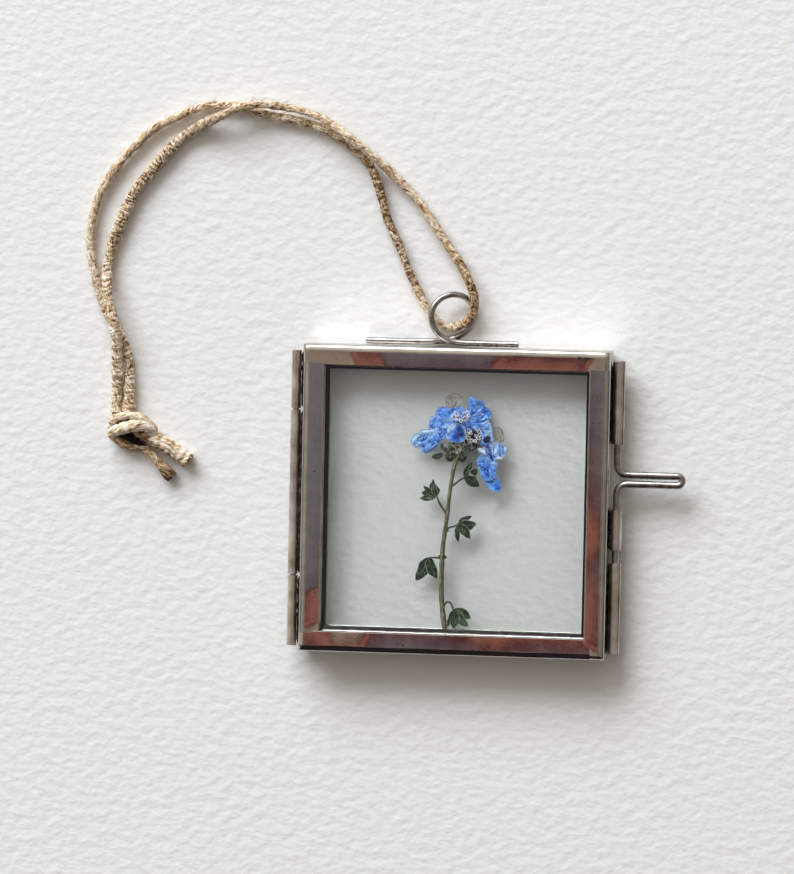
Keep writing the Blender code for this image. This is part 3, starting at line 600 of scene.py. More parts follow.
def channel_strip(section, inside, start, stop, tilts, seed, closed):
    """One strip of channel, as (along, in, up). The upper lip leans by the angle read
    from tilts, (place, degrees) along it, and waves a little; a closed end is rounded
    like the shoulder and shut by its own wall."""
    wall = np.array([0.0, 0.34, 0.35])
    s = np.arange(start, stop + 1e-6, 0.20)
    s[-1] = stop
    if closed[0]:
        s = np.concatenate([start + wall, s[s > start + 0.36]])
    if closed[1]:
        s = np.concatenate([s[s < stop - 0.36], stop - wall[::-1]])
    ends = (closed[0] & (s < start + 0.345)) | (closed[1] & (s > stop - 0.345))
    q = np.broadcast_to(section[:, 0], (len(s), len(section))).copy()
    z = np.broadcast_to(section[:, 1], (len(s), len(section))).copy()
    lip = section[:, 0].max() - SHEET / 2
    q[np.ix_(ends, inside)] = lip
    centre = section[:, 1].mean()
    # how far each place is from the nearest closed end, and how far it falls there
    open_end = 9.0
    near = np.minimum(s - start + (0 if closed[0] else open_end),
                      stop - s + (0 if closed[1] else open_end))
    fall = DROP * (1 - np.sqrt(1 - np.clip(1 - near / SHOULDER, 0, 1) ** 2))
    z -= np.sign(z - centre) * fall[:, None] * 0.9
    place, degrees = np.array(tilts, float).T
    lean = np.interp(s, place, degrees) + 0.16 * wander(s, 5.0, seed)
    lean = np.convolve(np.pad(lean, 4, "edge"), np.hanning(11)[1:-1] / 5.0, "valid")
    over = np.clip(q - SHOULDER, 0, None)
    crown = 0.9 * (over / (lip - SHOULDER)) ** 2 * (lip - SHOULDER) / 2
    rise = -np.tan(np.radians(lean))[:, None] * over - np.tan(math.radians(1.2)) * crown
    rise += (0.020 * wander(s, 11.0, seed + 1))[:, None] * np.clip(q / SHOULDER, 0, 1)
    z = np.where(z > centre, z + rise, z)
    return np.stack([np.broadcast_to(s[:, None], q.shape), q, z], axis=-1)


def set_strip(strip, side):
    """Moves a strip's (along, in, up) to one of the four sides of the frame."""
    s, q, z = np.moveaxis(strip, -1, 0)
    return np.stack({"top": (s, 25 - q, z), "bottom": (s, -25 + q, z),
                     "left": (-25 + q, s, z), "right": (25 - q, s, z)}[side], axis=-1)


def hump(offset, wide):
    """A round hump: 1 at offset nought, falling off over about wide."""
    return np.exp(-(offset / wide) ** 2)


def painted_shade_share(strip, inside, side, back, seed):
    """Share of painted black on a strip, which stands for shade and dark reflections. All
    of its inside is black as the shade in the fold, and so is the upright wall between
    the barrels on the left and right, as the shade of the gap. The front channel has thin
    lines of painted dark reflection along the shoulder, where it leaves the lip and the
    wall, three spots of painted dark reflection at the top corners, and a beaded inner
    edge of painted shade at the bottom. The back channel's lip is black beyond 2.4 mm, as
    painted shade under the front channel, but for a grey line that wanders along it,
    broad at the bottom, thin elsewhere."""
    s, q, z = np.moveaxis(strip, -1, 0)
    share = 0.99 * inside * (q < q[2].max() - 0.18)
    on_top = z > 4.6
    # painted dark reflections along the front's shoulders and at its top corners, and
    # painted shade along the bottom's inner edge
    if not back:
        lines = hump(q - 0.93, 0.06) + hump(q - 0.26, 0.06)
        share = np.maximum(share, 0.55 * on_top * lines)
        if side == "top":
            for place, far, long in ((21.3, 1.15, 0.60), (20.0, 1.05, 0.35),
                                     (-24.6, 0.5, 0.25)):
                spot = hump(s - place, long) * hump(q - far, 0.20)
                share = np.maximum(share, 0.95 * on_top * spot)
        if side == "bottom":
            beads = 0.95 - 0.10 * (np.sin(13 * s) > 0) * (s > 9)
            share = np.maximum(share, beads * (q > q[2].max() - 0.16) * (z > 5))
    # painted shade of the gap: the low wall beside the barrels is black
    shaded_gap = side == "left" or (side == "right") & (
        (s > 9.8) | ((s < -0.6) & (s > -24.2)))
    low = np.clip((5.3 - z) / 0.2, 0, 1)
    share = np.maximum(share, 0.93 * shaded_gap * (q < 0.3) * low)
    # painted shade under the front channel: the back lip is black but for a grey line
    if back:
        wide, bright = (0.24, 0.99) if side == "bottom" else (0.09, 0.75)
        line = hump(q - 3.55 - 0.03 * wander(s[:, 0], 4.0, seed)[:, None], wide)
        line *= 0.75 + 0.25 * wander(s[:, 0], 1.5, seed + 1)[:, None]
        share = np.maximum(share, np.clip((q - 2.4) / 0.15, 0, 1) * (z > 1.4)
                           * (0.99 - bright * np.clip(line, 0, 1)))
    return share


def frame_shells(lip, low, high, tilts, back, seed):
    """Four strips round one pane, each a little lower than the next that laps over it:
    left, bottom, right, top. Returns the shells and their share of painted black, which
    stands for shade and dark reflections."""
    shells, painted_shades = [], []
    for side, start, stop, step, closed in (
            ("left", -22.0, 22.0, 0.18, (False, False)),
            ("right", -25.0, 22.0, 0.06, (True, False)),
            ("top", -25.0, 25.0, 0.0, (True, True)),
            ("bottom", -25.0, 22.6, 0.12, (True, False))):
        section, inside = channel_section(lip, low, high - step)
        strip = channel_strip(section, inside, start, stop, tilts[side], seed, closed)
        # a lapped strip also stands in a little, so that no two walls lie in one plane
        shells.append((set_strip(strip + (0, step / 3, 0), side),
                       tube_faces(*strip.shape[:2])))
        painted_shades.append(painted_shade_share(strip, inside, side, back, seed).ravel())
        seed += 7
    return shells, np.concatenate(painted_shades)


# How many degrees the front's upper lips lean outward, at places along each side.
front_tilts = {
    "top": [(-25, 8.2), (-17.6, 8.2), (-16.6, 4.7), (-12.6, 4.6), (-11.6, 2.4), (-8, 2.2),
            (-0.8, 2.6), (5.6, 2.7), (7.2, 4.5), (13, 4.6), (17, 4.4), (20.2, 3.9),
            (21.4, 4.2), (22.2, 7.8), (25, 8.2)],
    "left": [(-25, 7.8), (-21.2, 7.4), (-20.4, 4.8), (-15.8, 4.7), (-14.8, 1.8),
             (-5, 1.4), (3, 0.7), (22, 0.0)],
    "right": [(-25, 8.4), (-23.6, 8.2), (-23.0, 4.3), (-22, 4.4), (-19.5, 5.0),
              (-16, 5.0), (-13.5, 4.2), (-9, 4.2), (-7.2, 4.6), (-5.6, 5.3),
              (-3.4, 5.2), (-2, 4.4), (0.4, 3.8), (5, 3.4), (12, 2.8), (22, 2.3)],
    "bottom": [(-25, 4.5), (-23.6, 4.7), (-22.2, 5.3), (-20.4, 5.9), (-18.6, 7.8),
               (-15.4, 7.6), (-13.4, 4.4), (-11.5, 3.6), (-6, 3.5), (0, 4.0), (4, 4.3),
               (5.4, 4.9), (7.4, 5.1), (9, 4.8), (11, 4.45), (17.6, 4.35), (22, 4.3)]}
plain_tilts = dict.fromkeys(front_tilts, [(-25, 1.5), (0, 0.5), (25, 1.5)])
for name, node, body, lip, low, high, tilts, seed in (
        ("front_channel", "front_frame", "front", 3.25, 3.15, 6.12, front_tilts, 71),
        ("back_channel", "back_frame", "back", 3.85, 0.0, 2.85, plain_tilts, 113)):
    shells, painted_shades = frame_shells(lip, low, high, tilts, body == "back", seed)
    fit(add_mesh(name, shells, tinned_sheet, smooth=40, dim=painted_shades),
        body, node)

# ---------------------------------------------------------------------------------
# The panes. Clear window glass cut square, faintly green through its thickness, its
# face very slightly uneven every 11 mm or so.
add, shader, window_glass = new_finish("clear_window_glass")
green = add("VolumeAbsorption", Color=(0.76, 0.97, 0.93, 1.0), Density=40.0)["Volume"]
feed(window_glass.node_tree.nodes["Material Output"], {"Volume": green})
ripple = add("TexNoise", add("TexCoord")["Object"], Scale=90.0)["Fac"]
feed(shader, {
    "Base Color": tint("#ffffff"), "Roughness": 0.0, "IOR": 1.40,
    "Transmission Weight": 1.0,
    "Normal": add("Bump", Height=ripple, Strength=0.05, Distance=0.00005)["Normal"]})
for name in ("back_glass", "front_glass"):
    for slot in bpy.data.objects[name].material_slots:
        slot.material = window_glass

# ---------------------------------------------------------------------------------
# Hinge and clasp barrels. Strips of the same sheet are rolled round the wires with
# their seam left open, and soldered to the frame's sides in a rough grey line.
# Rolled tin: dull, with stains 3 mm wide and fine lines 0.4 mm apart along the barrel.
add, shader, rolled_sheet = new_finish("rolled_dull_tin")
place = add("TexCoord")["Object"]
brushed = add("Mapping", place, Scale=(1.0, 0.08, 1.0))["Vector"]
lines = add("TexNoise", brushed, Scale=2400.0, Detail=3.0)["Fac"]
stain = add("TexNoise", place, Scale=350.0, Detail=3.0)["Fac"]
feed(shader, {
    "Base Color": add("ValToRGB", stain, stops=[
        (0.3, "#b5aca0"), (0.5, "#d2cabf"), (0.75, "#e8e2d9")])["Color"],
    "Metallic": 1.0, "Roughness": add("MapRange", stain, 0.3, 0.75, 0.26, 0.42)[0],
    "Normal": add("Bump", Height=lines, Strength=0.15, Distance=0.00004)["Normal"]})

# Solder: pitted every 0.7 mm as it froze, black with flux but for a few bright spots; its
# black also paints the shade in the gap between barrel and wall.
solder = mottled_finish(
    "cooled_solder", {"Scale": 1500.0, "Detail": 4.0, "Roughness": 0.7},
    [(0.34, "#1d1a18"), (0.52, "#3d3833"), (0.64, "#7d766d"), (0.78, "#cfcac2")],
    {"Metallic": 1.0, "Roughness": 0.42}, relief=(0.5, 0.0001))

# Both wires and all their barrels lie at one height, beside the frame's walls.
HINGE_X, CLASP_X, AXIS_Z = -26.4, 26.2, 3.0


def rolled_barrel(x, low, high, radius, bore, seam, opening, seed):
    """A strip rolled into a tube along Y: an outer arc and a smaller one inside it,
    both open by opening degrees about the seam's angle, drawn out from low to high with
    its ends not quite square."""
    arc = np.radians(np.linspace(seam + opening / 2, seam + 360 - opening / 2, 44))
    arc = np.stack([np.cos(arc), np.sin(arc)])
    out, up = np.hstack([arc * radius, (arc * bore)[:, ::-1]])
    y = np.linspace(low, high, max(12, int((high - low) / 0.35)))
    dent = 1 + 0.02 * wander(y, 3.0, seed)[:, None]
    y = y[:, None] + 0.06 * out * (y[:, None] > high - 0.1)
    points = np.stack([x + out * dent, y, AXIS_Z + up * dent], axis=-1)
    return points, tube_faces(*points.shape[:2])


def solder_line(x, z, low, high, wide, tall, seed):
    """A bead along Y from low to high: an ellipse wide by tall that thins to its ends
    and swells and sinks as the solder ran."""
    y = np.linspace(low, high, 60)
    angles = full_turn(18)
    uneven = 1 + 0.12 * wander(y, 1.6, seed) + 0.05 * wander(y, 0.6, seed + 1)
    size = np.sqrt(np.clip(1 - np.linspace(-1, 1, 60) ** 20, 0.02, 1)) * uneven
    points = np.stack(np.broadcast_arrays(
        x + size[:, None] * (wide * np.cos(angles)), y[:, None],
        z + size[:, None] * (tall * np.sin(angles))), axis=-1)
    return points, tube_faces(60, 18)


# Each barrel: its node, place, two ends and body, where its seam points and how far it
# is open in degrees, and its seed.
for node, x, low, high, body, seam, opening, seed in (
        ("hinge_knuckle_top", HINGE_X, 14.4, 23.8, "back", 200, 14, 1),
        ("hinge_knuckle_middle", HINGE_X, -12.6, 14.1, "front", 160, 14, 2),
        ("hinge_knuckle_bottom", HINGE_X, -24.3, -12.9, "back", 200, 14, 3),
        ("clasp_knuckle_top", CLASP_X, 10.0, 23.4, "back", 35, 16, 4),
        ("clasp_hook", CLASP_X, -7.2, -0.6, "front", -90, 78, 5),
        ("clasp_knuckle_bottom", CLASP_X, -24.0, -9.3, "back", 35, 16, 6)):
    radius, bore = (0.80, 0.60) if x == HINGE_X else (0.97, 0.62)
    barrel = rolled_barrel(x, low, high, radius, bore, seam, opening, seed)
    fit(add_mesh(node + "_roll", [barrel], rolled_sheet), body, node)
    # the bead stops short of the barrel's ends, on the wall of the half it holds to
    z = AXIS_Z + (0.45 if body == "front" else -0.45)
    bead = solder_line(math.copysign(25.30, x), z, low + 0.15, high - 0.15, 0.34, 0.32,
                       seed + 20)
    fit(add_mesh(node + "_solder", [bead], solder), body)

# ---------------------------------------------------------------------------------
# The wires. Hard drawn wire, 1 mm: the hinge pin, the clasp pin bent into a long flat
# loop, and the hanging ring with its crossed legs.
# Drawn wire: bright, mottled lighter and darker about every 1.4 mm.
add, shader, drawn_wire = new_finish("bright_drawn_wire")
mottle = add("TexNoise", add("TexCoord")["Object"], Scale=700.0, Detail=3.0)["Fac"]
feed(shader, {
    "Base Color": add("ValToRGB", mottle, stops=[
        (0.3, "#827e79"), (0.5, "#a39f9a"), (0.75, "#bfbbb6")])["Color"],
    "Metallic": 1.0, "Roughness": add("MapRange", mottle, 0.3, 0.75, 0.22, 0.38)[0],
    "Normal": add("Bump", Height=mottle, Strength=0.12, Distance=0.00005)["Normal"]})


def wire_shell(path, radius=0.5, around=28):
    """A round wire along a path, its two ends rounded over in three short rings."""
    along = way_along(path)
    steps = 0.25 * radius * np.array([[1.0], [0.9], [0.55]])
    path = np.vstack([path[0] - along[0] * steps, path,
                      path[-1] + along[-1] * steps[::-1]])
    grow = np.array([0.02, 0.47, 0.82])
    size = np.concatenate([grow, np.ones(len(path) - 6), grow[::-1]])
    rings = ring_round(path, radius * size[:, None], full_turn(around))
    return rings, tube_faces(len(path), around)


def bend(corner, before, after, radius=1.7):
    """Points of the arc that rounds a square corner between two straight runs."""
    corner = np.array(corner)
    back, ahead = (unit(np.array(p) - corner) * radius for p in (before, after))
    turn = np.linspace(0, np.pi / 2, 10)[:, None]
    return corner + back * (1 - np.sin(turn)) + ahead * (1 - np.cos(turn))


# The clasp's loop runs out at UPPER, turns at TURN_X and comes back at LOWER.
UPPER, LOWER, TURN_X = 5.03, 3.57, 36.0
half_turn = np.linspace(np.pi / 2, -np.pi / 2, 18)
clasp_route = np.vstack([
    np.linspace((CLASP_X, 18.5, AXIS_Z), (CLASP_X, 7.2, AXIS_Z), 24),
    bend((CLASP_X, UPPER, AXIS_Z), (CLASP_X, 18, AXIS_Z), (TURN_X, UPPER, AXIS_Z)),
    np.linspace((28.3, UPPER, AXIS_Z), (35.8, UPPER, AXIS_Z), 12),
    np.c_[TURN_X + 0.73 * np.cos(half_turn), 4.3 + 0.73 * np.sin(half_turn),
          np.full(18, AXIS_Z)],
    np.linspace((35.8, LOWER, AXIS_Z), (28.3, LOWER, AXIS_Z), 12),
    bend((CLASP_X, LOWER, AXIS_Z), (TURN_X, LOWER, AXIS_Z), (CLASP_X, -16, AXIS_Z)),
    np.linspace((CLASP_X, 1.4, AXIS_Z), (CLASP_X, -16.0, AXIS_Z), 30)])

# From one leg along the top wall, up round the ring, and back over the first leg.
RING_ROUTE = [
    (-15.3, 25.62, 1.00), (-10.0, 25.62, 1.00), (-6.0, 25.65, 0.95),
    (-3.4, 25.80, 0.80), (-1.0, 26.30, 0.65), (0.9, 27.45, 0.56), (2.0, 29.30, 0.58),
    (2.1, 31.20, 0.80), (0.9, 32.85, 1.35), (-1.2, 33.45, 2.00), (-3.1, 32.80, 2.60),
    (-4.3, 31.30, 2.90), (-4.55, 29.60, 2.90), (-4.1, 28.00, 2.75), (-3.1, 26.75, 2.60),
    (-1.5, 25.95, 2.45), (0.5, 25.65, 2.35), (4.0, 25.62, 2.30), (9.6, 25.62, 2.30)]
hinge_route = np.linspace((HINGE_X, -24.0, AXIS_Z), (HINGE_X, 23.5, AXIS_Z), 60)
for name, wire, body, node in (
        ("hinge_wire", wire_shell(hinge_route), "back", "hinge_pin"),
        ("clasp_wire", wire_shell(clasp_route, radius=0.60), "clasp", "clasp_pin"),
        ("ring_wire", wire_shell(smooth_route(RING_ROUTE, 0.25)[0]), "back",
         "hanging_ring")):
    fit(add_mesh(name, [wire], drawn_wire), body, node)

# ---------------------------------------------------------------------------------
# The stem. A dried, pressed stalk, ridged along its length, olive turning brown, its
# sides painted darker than the middle as the shade of a round stalk.
add, shader, dried_stalk = new_finish("dried_stalk")
spread = add("Attribute", attribute_name="grain")["Vector"]
ribs = add("TexNoise", spread, Scale=2.2, Detail=4.0, Roughness=0.6)["Fac"]
stalk_colour = add("ValToRGB", ribs, stops=[
    (0.30, "#27251a"), (0.44, "#585238"), (0.56, "#8b8160"), (0.72, "#c6bb94")
    ])["Color"]
# painted shade: the stalk's sides are darker than its middle
sideways = add("Math", add("SeparateXYZ", spread)["X"], operation="ABSOLUTE")[0]
shade = add("MapRange", sideways, 1.1, 1.8, 0.0, 0.75,
            interpolation_type="SMOOTHSTEP")[0]
feed(shader, {
    "Base Color": add("MixRGB", shade, stalk_colour, tint("#2b2c1c"))["Color"],
    "Roughness": 0.75, "Specular IOR Level": 0.2,
    "Normal": add("Bump", Height=ribs, Strength=0.6, Distance=0.00008)["Normal"]})


def stalk_shell(route, foot, head, around=20, seed=3):
    """A stalk along a route, tapering from foot to head, with five ribs along it and a
    knuckle every 4.3 mm. Returns its points, its faces and the marks of its grain."""
    path, reach = smooth_route(route, 0.15)
    angles = full_turn(around)
    size = np.interp(reach / reach[-1], [0, 1], [foot, head])
    size = size * (1 + 0.06 * wander(reach, 2.5, seed)) * (
        1 + 0.12 * hump(reach % 4.3 - 2.1, 0.35))
    rib = 1 + 0.07 * np.cos(5 * angles + 0.4)[None, :]
    rings = ring_round(path, size[:, None] * rib, angles)
    grain_marks = np.stack(np.broadcast_arrays(
        np.cos(angles) * 2.0, np.sin(angles) * 2.0, reach[:, None] * 0.5), axis=-1)
    return rings, tube_faces(*rings.shape[:2]), grain_marks.reshape(-1, 3)


STEM_ROUTE = [(-1.3, -20.8, 2.8), (-1.9, -16.3, 2.8), (-2.0, -12.1, 2.8),
              (-1.9, -7.7, 2.8), (-1.4, -3.3, 2.8), (-1.0, 1.0, 2.8), (-0.4, 5.2, 2.8),
              (0.0, 6.4, 2.8), (0.15, 7.3, 2.75)]
rings, faces, marks = stalk_shell(STEM_ROUTE, 0.42, 0.28)
fit(add_mesh("flower_stem", [(rings, faces)], dried_stalk, grain=marks),
    "back", "stem")

# ---------------------------------------------------------------------------------
# The leaves. Each is a thin stalk with a few small leaflets, dried dark grey-green,
# paler toward the rim and along the midrib.


def blade_axis(foot, tip):
    """A blade's foot, the line from it to its tip, and the unit direction beside it."""
    foot, tip = np.array(foot, float), np.array(tip, float)
    along = tip - foot
    return foot, along, unit(np.array([-along[1], along[0]]))


def pressed_blade(foot, tip, width, height, seed, fullness=0.85, bow=0.0, wave=0.05,
                  blunt=0.45, crease=0.05, dome=0.0, thick=0.07, rows=26, columns=15):
    """A thin closed blade. Its width is a round oval along the line from foot to tip,
    blunter as blunt is less, each edge pushed in and out by wave at seven corners, and
    its axis bows aside. Its face rises in the middle by dome and falls and rises by
    crease in sharp-backed folds. The underside is the same face lowered by a thickness
    that is nought at the rim. Returns points, faces and a UV place for each point."""
    foot, along, side = blade_axis(foot, tip)
    u = (1 - np.cos(np.pi * np.arange(rows) / (rows - 1))) / 2
    v = np.sin(np.linspace(-np.pi / 2, np.pi / 2, columns))
    swell = np.clip(1 - np.abs(2 * u ** fullness - 1) ** 2.3, 0, 1) ** blunt
    corners = np.random.default_rng(seed).uniform(-1, 1, (2, 7))
    edges = [np.interp(u, np.linspace(0, 1, 7), some)[:, None] for some in corners]
    edge = 1 + wave * np.where(v[None] > 0, edges[0], edges[1])
    aside = v[None] * swell[:, None] * width / 2 * edge
    aside = aside + bow * np.sin(np.pi * u)[:, None]
    flat = foot + along * u[:, None, None] + side * aside[..., None]
    rise = crease * (1 - 2 * np.abs(np.clip(wander(flat, 1.5, seed + 2), -1, 1)))
    rise += crease * 0.8 * wander(flat, 3.0, seed + 3)
    body = np.sin(np.pi * u)[:, None] ** 0.5 * (1 - v[None] ** 2) ** 0.5
    top = np.dstack([flat, height + rise * np.minimum(1, 0.35 + body) + dome * body])
    under = top.copy()
    under[..., 2] -= thick * body
    quads = np.array(tube_faces(rows, columns)[:-2]).reshape(rows - 1, columns, 4)
    quads = quads[:, :-1].reshape(-1, 4)
    faces = quads.tolist() + (quads[:, ::-1] + rows * columns).tolist()
    places = np.stack(np.broadcast_arrays(u[:, None], v[None] / 2 + 0.5), axis=-1)
    return np.concatenate([top, under]).reshape(-1, 3), faces, np.tile(
        places.reshape(-1, 2), (2, 1))


def add_blades(name, blades, finish, node):
    """Several blades as one piece that stands for one node of the model."""
    fit(add_mesh(name, [blade[:2] for blade in blades], finish, smooth=75, weld=0.0004,
                 spread=np.vstack([blade[2] for blade in blades])), "back", node)


def edge_share(add, along_too):
    """How far a point of a blade lies toward its rim, 0 to 0.5, from its UV; along_too
    counts the tip as rim as well."""
    parts = add("SeparateXYZ", add("TexCoord")["UV"])
    off = add("Math", parts["Y"], 0.5, operation="SUBTRACT")[0]
    off = add("Math", off, operation="ABSOLUTE")[0]
    if not along_too:
        return off
    tip = add("Math", parts["X"], 0.5, operation="SUBTRACT")[0]
    return add("Math", off, tip, operation="MAXIMUM")[0]


# Dried leaf: matt grey-green in flecks of 0.7 mm, nearly black between them, its rim
# and midrib pale.
add, shader, dried_leaf = new_finish("dried_leaf")
fleck = add("TexNoise", add("TexCoord")["Object"], Scale=1500.0, Detail=4.0,
            Roughness=0.65)["Fac"]
leaf_colour = add("ValToRGB", fleck, stops=[
    (0.3, "#0a1009"), (0.5, "#22301e"), (0.64, "#46603c"), (0.8, "#7e9a70")])["Color"]
rim = add("MapRange", edge_share(add, True), 0.43, 0.48, 0.0, 0.8,
          interpolation_type="SMOOTHSTEP")[0]
rib = add("MapRange", edge_share(add, False), 0.05, 0.01, 0.0, 0.2,
          interpolation_type="SMOOTHSTEP")[0]
pale = add("Math", rim, rib, operation="MAXIMUM")[0]
feed(shader, {
    "Base Color": add("MixRGB", pale, leaf_colour, tint("#c4ccb4"))["Color"],
    "Roughness": 0.8, "Specular IOR Level": 0.2,
    "Normal": add("Bump", Height=fleck, Strength=0.6, Distance=0.00008)["Normal"]})

# Each leaf: its node, its stalk's route, and for each leaflet the tip, the width and,
# where it doesn't grow from the stalk's end, the foot.
LEAVES = [
    ("leaf_left_upper", [(-1.35, -2.3), (-1.8, -1.6), (-2.6, -0.4), (-3.1, 0.8)],
     [((-5.9, 0.3), 0.85), ((-5.6, 1.2), 1.2), ((-5.3, 2.4), 0.65), ((-4.1, 2.9), 1.2),
      ((-3.7, 3.6), 0.65)]),
    ("leaf_right_upper", [(-0.75, 2.3), (-0.1, 2.8), (0.6, 3.4), (1.5, 3.9)],
     [((2.6, 6.4), 0.8), ((3.6, 5.3), 1.1), ((3.9, 2.5), 1.3)]),
    ("leaf_right_middle", [(-1.1, -5.0), (-1.0, -4.4), (0.5, -3.9)],
     [((2.8, -2.3), 0.7), ((3.6, -3.6), 1.3), ((2.6, -6.1), 1.1), ((0.7, -6.7), 0.65)]),
    ("leaf_left_lower", [(-2.0, -9.4), (-3.3, -9.3), (-4.2, -9.4)],
     [((-6.2, -13.2), 1.5), ((-2.7, -12.8), 1.3), ((-1.1, -9.2), 0.75, (-2.5, -9.3))]),
    ("leaf_right_lower", [(-1.5, -17.2), (-1.1, -16.5), (-0.4, -16.6), (0.1, -17.8)],
     [((3.0, -19.0), 1.3), ((2.6, -20.4), 1.2), ((0.2, -20.8), 1.3),
      ((-0.8, -20.7), 0.5)]),
]
for seed, (node, stalk, leaflets) in enumerate(LEAVES):
    rings, faces, marks = stalk_shell([(x, y, 2.80) for x, y in stalk], 0.17, 0.13,
                                      around=10, seed=seed)
    # the stalk takes the blade's colour from one place beside the midrib
    blades = [(rings, faces, np.tile((0.5, 0.06), (rings[..., 0].size, 1)))]
    for index, (tip, width, *base) in enumerate(leaflets):
        base = base[0] if base else stalk[-1]
        foot = np.array(base) + unit(np.array(base) - tip) * 0.15
        blades.append(pressed_blade(foot, tip, width * 1.36, 2.78 + 0.05 * index,
                                    200 + 10 * seed + index, wave=0.16, crease=0.07,
                                    blunt=1.05, bow=0.15 * (-1) ** index))
    add_blades(node + "_dried", blades, dried_leaf, node)

# ---------------------------------------------------------------------------------
# Calyx: small hairy sepals and two folded buds round the head of the stem.
# Each one's node, foot, tip, width, and the layer that it lies in.
SEPALS = [
    ("sepal_left", (-0.8, 7.4), (-2.6, 9.4), 0.8, 2),
    ("sepal_left_middle", (-0.3, 7.3), (-1.1, 9.2), 1.0, 4),
    ("sepal_middle", (0.1, 7.3), (0.4, 9.7), 0.8, 1),
    ("sepal_right_middle", (0.3, 7.3), (1.5, 9.3), 0.8, 3),
    ("sepal_right", (0.6, 7.4), (2.6, 8.7), 0.9, 5),
    ("sepal_upper_right", (0.9, 8.0), (3.6, 9.3), 0.9, 0),
    ("bud_left", (-0.5, 6.6), (-1.8, 7.8), 1.2, 0),
    ("bud_right", (0.5, 6.6), (1.6, 7.7), 1.2, 2),
    ("leaf_small", (-2.1, 7.6), (-4.0, 7.1), 0.9, 4),
]
for seed, (node, foot, tip, width, layer) in enumerate(SEPALS):
    blades = [pressed_blade(foot, tip, width * 1.12, 2.42 + 0.23 * layer,
                            300 + 10 * seed, wave=0.08, blunt=0.62,
                            bow=0.1 * (-1) ** seed)]
    if node == "sepal_middle":
        # dark blades behind the rest, painted shade in the gaps of the calyx; their UV is
        # held at one place, so they take no pale rim or midrib
        for foot, tip, wide in (
                ((-0.5, 6.9), (-0.8, 9.9), 1.6), ((0.5, 6.9), (1.4, 10.1), 1.7),
                ((0.1, 7.2), (0.2, 10.2), 1.5), ((1.6, 8.2), (2.9, 9.6), 1.3)):
            points, faces, places = pressed_blade(foot, tip, wide, 2.50, 390)
            blades.append((points, faces, np.full_like(places, 0.4)))
    add_blades(node + "_dried", blades, dried_leaf, node)

# Pale hairs that stand round the calyx, the head of the stem and the rim of the bud.
calyx_hair = mottled_finish("calyx_hair", {"Scale": 1200.0}, [
    (0.3, "#a39e88"), (0.5, "#dedbca"), (0.7, "#ffffff")], {"Roughness": 0.6})
chance = np.random.default_rng(17)
count, rim_count = 190, 90
hair_roots = np.c_[chance.uniform(-2.0, 2.9, count), chance.uniform(7.0, 9.9, count),
                   chance.uniform(2.8, 3.5, count)]
heading = np.pi / 2 + chance.normal(0, 0.9, count)
reach_out = chance.uniform(0.35, 0.95, count)
hair_tips = hair_roots + np.c_[np.cos(heading) * reach_out, np.sin(heading) * reach_out,
                               chance.uniform(-0.05, 0.15, count)]
hair_bows = np.c_[-np.sin(heading), np.cos(heading), 0 * heading] * (
    0.22 * chance.choice([-1, 1], count)[:, None])
turn = chance.uniform(0, 2 * np.pi, rim_count)
out = np.c_[np.cos(turn), np.sin(turn), 0 * turn]
rim_roots = np.array([-0.05, 11.1, 3.58]) + out * (1.42, 1.48, 0)
rim_tips = rim_roots + out * chance.uniform(0.12, 0.34, rim_count)[:, None]
hairs = hair_shells(np.vstack([hair_roots, rim_roots]),
                    np.vstack([hair_tips, rim_tips]),
                    np.vstack([hair_bows, 0.12 * out[:, [1, 0, 2]]]),
                    chance.uniform(0.030, 0.055, count + rim_count))
fit(add_mesh("calyx_hairs", [hairs], calyx_hair), "back")

# ---------------------------------------------------------------------------------
# The petals. Pressed wet, they dried crumpled: blue, near navy toward the base and in
# the folds, where the navy is painted shade, pale along the ridges; the oldest have faded
# to a bare brown-veined skin.


